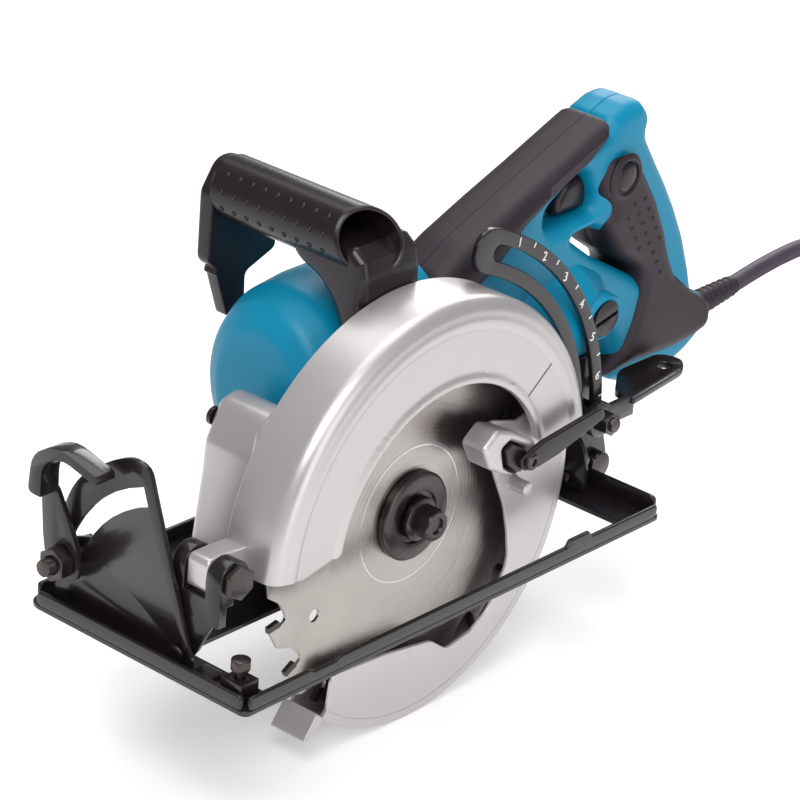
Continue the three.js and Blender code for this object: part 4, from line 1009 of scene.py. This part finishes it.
def front_handle():
    """A tube across the saw, cut aslant at its hollow near end, on a curved near leg and a far webbed post.

    Near points lean along Y by -9 mm times their place across the tube, fading out 45 mm from the end.
    """
    x, z, r, y0, y1 = (GRIP[k] for k in ("x", "z", "r", "y0", "y1"))

    def aslant(points):
        across = (0.76 * points[:, 0] - 0.65 * points[:, 2]) / r
        fade = smooth((y0 + 45 - points[:, 1]) / 45)
        points = points.copy()
        points[:, 1] -= 9.0 * across * fade
        return points

    shape_corners = [[0, y0 + 30], [r - 3.4, y0 + 30, 1], [r - 2.0, y0 + 0.8, 0.8], [r - 0.9, y0, 1.0],
        [r, y0 + 1.5, 1], [r, y1 - 5], [r - 4, y1, 5], [0, y1]]
    shape = rounded(shape_corners, closed=False, step=1.5)
    grip = lathe("front_grip", shape, (x, 0, z), paint=PLASTIC, sides=96, clip=aslant)
    stands_for(grip, "front_handle")
    near_outline = [[13.5, 112], [13.2, 150, 14], [15.2, 158], [22, 163], [60, 163], [58, 149, 14],
        [42, 143, 14], [32, 134, 16], [27, 122, 14], [24.9, 112]]
    near = slab("near_leg", near_outline, -27, 12, axis="x", soft=(5, 5), paint=PLASTIC, step=1.2)
    far_outline = [[x - r, z, 8], [x - 6, z + r - 1, 10], [x + 6, z + r - 1, 10], [x + r, z, 8],
        [16, 127, 5], [-5, 119, 4], [-4, 98, 2], [-16, 100, 2], [-24, 122, 1], [-25.8, 123, 0.5],
        [-25, 126, 0.5], [-30.5, 130, 6]]
    far = slab("far_leg", far_outline, 103.3, 112, soft=(1.5, 2.5), paint=PLASTIC, step=1.5)
    for part in (near, far):
        goes_with(part, "front_handle")
    rows, steps = np.radians([138, 170, 200]), np.linspace(y0 + 16, y1 - 12, 9)
    a, y = [grid.ravel() for grid in np.meshgrid(rows, steps, indexing="ij")]
    normal = np.stack([np.cos(a), np.zeros_like(a), np.sin(a)], -1)
    where = np.stack([x + r * np.cos(a), y, z + r * np.sin(a)], -1)
    goes_with(studs("front_grip_studs", where, normal, 1.3, 0.8, PLASTIC), "front_handle")


# ---- Depth guide ----

TILT_AT, GUIDE_AT, CLAMP_AT = np.array([-122.0, 45.0]), np.array([149.0, 9.0]), np.array([140.0, 38.0])
GUIDE_RATIO, DEPTH_TRAVEL = 0.69, 28
TICK_FROM, TICK_TO, TICK_WIDTH = 8.0, 10.4, 0.7


def turned(points, degrees):
    """Points turned about the origin by an angle."""
    a = np.radians(np.asarray(degrees, float))
    u, v = points[..., 0], points[..., 1]
    return np.stack([u * np.cos(a) - v * np.sin(a), u * np.sin(a) + v * np.cos(a)], -1)


def slot_line(degrees):
    """The clamp bolt's path seen from the guide, which turns GUIDE_RATIO as fast as the sole tilts about
    its pivot."""
    degrees = np.asarray(degrees, float)
    swung = turned(np.broadcast_to(CLAMP_AT - TILT_AT, degrees.shape + (2,)), degrees)
    return GUIDE_AT + turned(TILT_AT - GUIDE_AT + swung, GUIDE_RATIO * degrees)


def beside(line, offset):
    """A line moved sideways, to the left of its direction."""
    tangent = unit(np.gradient(line, axis=0))
    return line + offset * np.stack([-tangent[:, 1], tangent[:, 0]], -1)


def heading(start, end):
    """The direction from one point to another, in degrees."""
    along = end - start
    return np.degrees(np.arctan2(along[1], along[0]))


def depth_guide():
    """A slotted band along the clamp bolt's path, with ticks and the numerals 1 to 6 on its outer part."""
    line = slot_line(np.linspace(-0.5, DEPTH_TRAVEL + 2, 50))
    half, cut = 11.0, 4.0
    tip = line[-1]
    end_turn = heading(line[-2], line[-1])
    end = arc(half, end_turn - 90, end_turn + 90, 14, tip[0], tip[1])
    right, left = beside(line, -half), beside(line, half)
    outline = right.tolist() + end + left[::-1].tolist() + [
        [135.6, 26, 4], [141.6, 14, 3], [142, 3.4, 4], [156, 2.9, 6], [159.3, 10, 8]]
    opening = slot_line(np.linspace(-0.6, DEPTH_TRAVEL + 0.8, 50))
    far_turn, near_turn = heading(opening[-2], opening[-1]), heading(opening[0], opening[1])
    slot = (beside(opening, -cut).tolist() + arc(cut, far_turn - 90, far_turn + 90, 8, *opening[-1])
            + beside(opening, cut)[::-1].tolist()
            + arc(cut, near_turn + 90, near_turn + 270, 8, *opening[0]))
    guide = slab("guide_band", outline, 8.6, 11.6, soft=(0.7, 0.5),
                 holes=[slot, arc(3.5, 0, 340, 18, *GUIDE_AT)], paint=ENAMEL, step=2)
    stands_for(guide, "depth_guide")
    scale = slot_line(np.linspace(0, DEPTH_TRAVEL + 1, 200))
    travelled = np.concatenate([[0], np.cumsum(np.linalg.norm(np.diff(scale, axis=0), axis=1))])
    tangent = unit(np.gradient(scale, axis=0))
    for k in range(12):
        i = int(np.interp(travelled[-1] * (0.05 + 0.078 * k), travelled, np.arange(len(travelled))))
        spot, along = scale[i], tangent[i]
        out = np.array([along[1], -along[0]])
        if k % 2:
            label = 6 - k // 2
            number(f"scale_number_{label}", str(label), spot + out * 7.2, along)
            continue
        a, b = spot + out * TICK_FROM, spot + out * TICK_TO
        aside = along * TICK_WIDTH / 2
        tick = [(a - aside).tolist(), (a + aside).tolist(), (b + aside).tolist(), (b - aside).tolist()]
        goes_with(slab(f"scale_tick_{k}", tick, 8.45, 8.7, soft=(0, 0), paint=WHITE), "depth_guide")


def number(name, word, spot, along):
    """A numeral in the built-in font, its height across the band, turned to read from the blade side."""
    text = bpy.data.curves.new(name, "FONT")
    text.body, text.size, text.extrude = word, 6.4 * MM, 0.12 * MM
    text.align_x, text.align_y = "CENTER", "CENTER"
    flat = shown(name + "_text", text)
    bpy.context.view_layer.update()
    mesh = bpy.data.meshes.new_from_object(flat.evaluated_get(bpy.context.evaluated_depsgraph_get()))
    bpy.data.objects.remove(flat)
    lean = np.degrees(np.arctan2(-along[1], -along[0]))
    a = np.radians(lean * 0.35)
    at = place([spot[0], 8.5, spot[1]])
    mesh.transform(Matrix([[np.cos(a), -np.sin(a), 0, at[0]], [0, 0, -1, at[1]],
                           [np.sin(a), np.cos(a), 0, at[2]], [0, 0, 0, 1]]))
    mesh.materials.clear()
    mesh.materials.append(WHITE)
    goes_with(shown(name, mesh), "depth_guide")


# ---- Sole ----

def sole():
    """A folded steel sheet with a blade slot, upturned lips on all sides and index notches."""
    x0, x1, y0, y1 = -145.4, 141.2, -39.8, 94.4
    blade_slot = [[-125, -33, 2], [119, -33, 2], [119, 16, 2], [-125, 16, 2]]
    sheet_outline = [[x0, y0, 4], [x1, y0, 4], [x1, y1, 8], [x0, y1, 8]]
    sheet = slab("sole_sheet", sheet_outline, 0, 2.5, axis="z", soft=(0.3, 0.6), holes=[blade_slot],
                 paint=ENAMEL, step=6)
    stands_for(sheet, "sole")
    lips = {
        "near": ([[x0 + 3, 2], [x0 + 3, 8.5, 2], [x0 + 40, 8.5, 3], [x0 + 43, 7, 2], [x0 + 56, 7, 2],
                  [x0 + 59, 8.5, 3], [70, 8.5, 2], [72, 11.5, 1], [86, 11.5, 1], [88, 8.5, 2],
                  [x1 - 3, 8.5, 2], [x1 - 3, 2]], y0, y0 + 2.5, "y"),
        "far": ([[x0 + 6, 2], [x0 + 6, 9, 2], [x1 - 6, 9, 2], [x1 - 6, 2]], y1 - 2.5, y1, "y"),
        "rear": ([[y0 + 3, 2], [y0 + 3, 11, 3], [y1 - 6, 11, 3], [y1 - 6, 2]], x1 - 2.5, x1, "x"),
        "front": ([[y0 + 3, 2], [y0 + 3, 9, 3], [y1 - 6, 9, 3], [y1 - 6, 2]], x0, x0 + 2.5, "x")}
    for name, (outline, low, high, axis) in lips.items():
        lip = slab(f"sole_lip_{name}", outline, low, high, axis=axis, soft=(0.9, 0.9), paint=ENAMEL, step=3)
        goes_with(lip, "sole")


def corded_end():
    """The cord guard: a collar in the handle and a tapered, ribbed sleeve round the cord."""
    start, end = np.array([252.0, 44, 46]), np.array([302.0, 44, 50])
    s = np.linspace(0, 1, 90)
    path = start + (end - start) * s[:, None]
    ribs = 0.45 * np.sin(s * 2 * np.pi * 11) * smooth((s - 0.25) / 0.05) * smooth((0.97 - s) / 0.05)
    radius = np.where(s < 0.2, 7.4, 7.4 - 2.2 * np.clip((s - 0.2) / 0.8, 0, 1)) + ribs - 0.3
    guard = swept("cord_sleeve", path, circle(1.0, 28), RUBBER, scale=radius)
    stands_for(guard, "cord_guard")
    ring = np.array([252.0, 44, 45.8]) + np.linspace(0, 1, 6)[:, None] * np.array([16.0, 0, 1.3])
    collar = swept("cord_collar", ring, circle(1.0, 32), TEAL, scale=[10.5, 12.4, 12.6, 12.4, 11.6, 9.6])
    goes_with(collar, "handle_left")


blade()
clamp_parts()
blade_case()
lower_guard()
housings()
brush_caps()
rear_handle()
front_handle()
depth_guide()
sole()
corded_end()

# ---- Brackets, bolts and inner parts ----

SLOT_OF = {part["node"]: part["material_slot"] for part in frame["record"]["subparts"]}
EDGES = {"sight_tongue": 0.4, "fence_clamp_block": 0.8, "clamp_boss": 1.0, "depth_lever": 0.8,
         "bevel_lever": 0.7, "front_link": 0.7, "rear_link": 0.7, "bevel_quadrant_front": 0.6,
         "bevel_quadrant_rear": 0.6}
INNER = ("ring_gear", "spindle", "inner_flange", "spindle_bearing_near", "spindle_bearing_far", "stator",
         "armature_core", "commutator", "cooling_fan", "armature_shaft", "motor_bearing_rear",
         "motor_bearing_front", "switch_body", "guard_spring", "plug")


def remaining():
    """Every node not made above: outside ones get rounded edges, those in INNER keep their shape."""
    for name, node in NODES.items():
        if node.hide_render:
            continue
        slot = SLOT_OF[name]
        if name in INNER:
            node.data.materials.clear()
            node.data.materials.append(SLOT_PAINT[slot])
        else:
            stands_for(bevelled(name, EDGES.get(name, 0.4), SLOT_PAINT[slot]), name)


remaining()
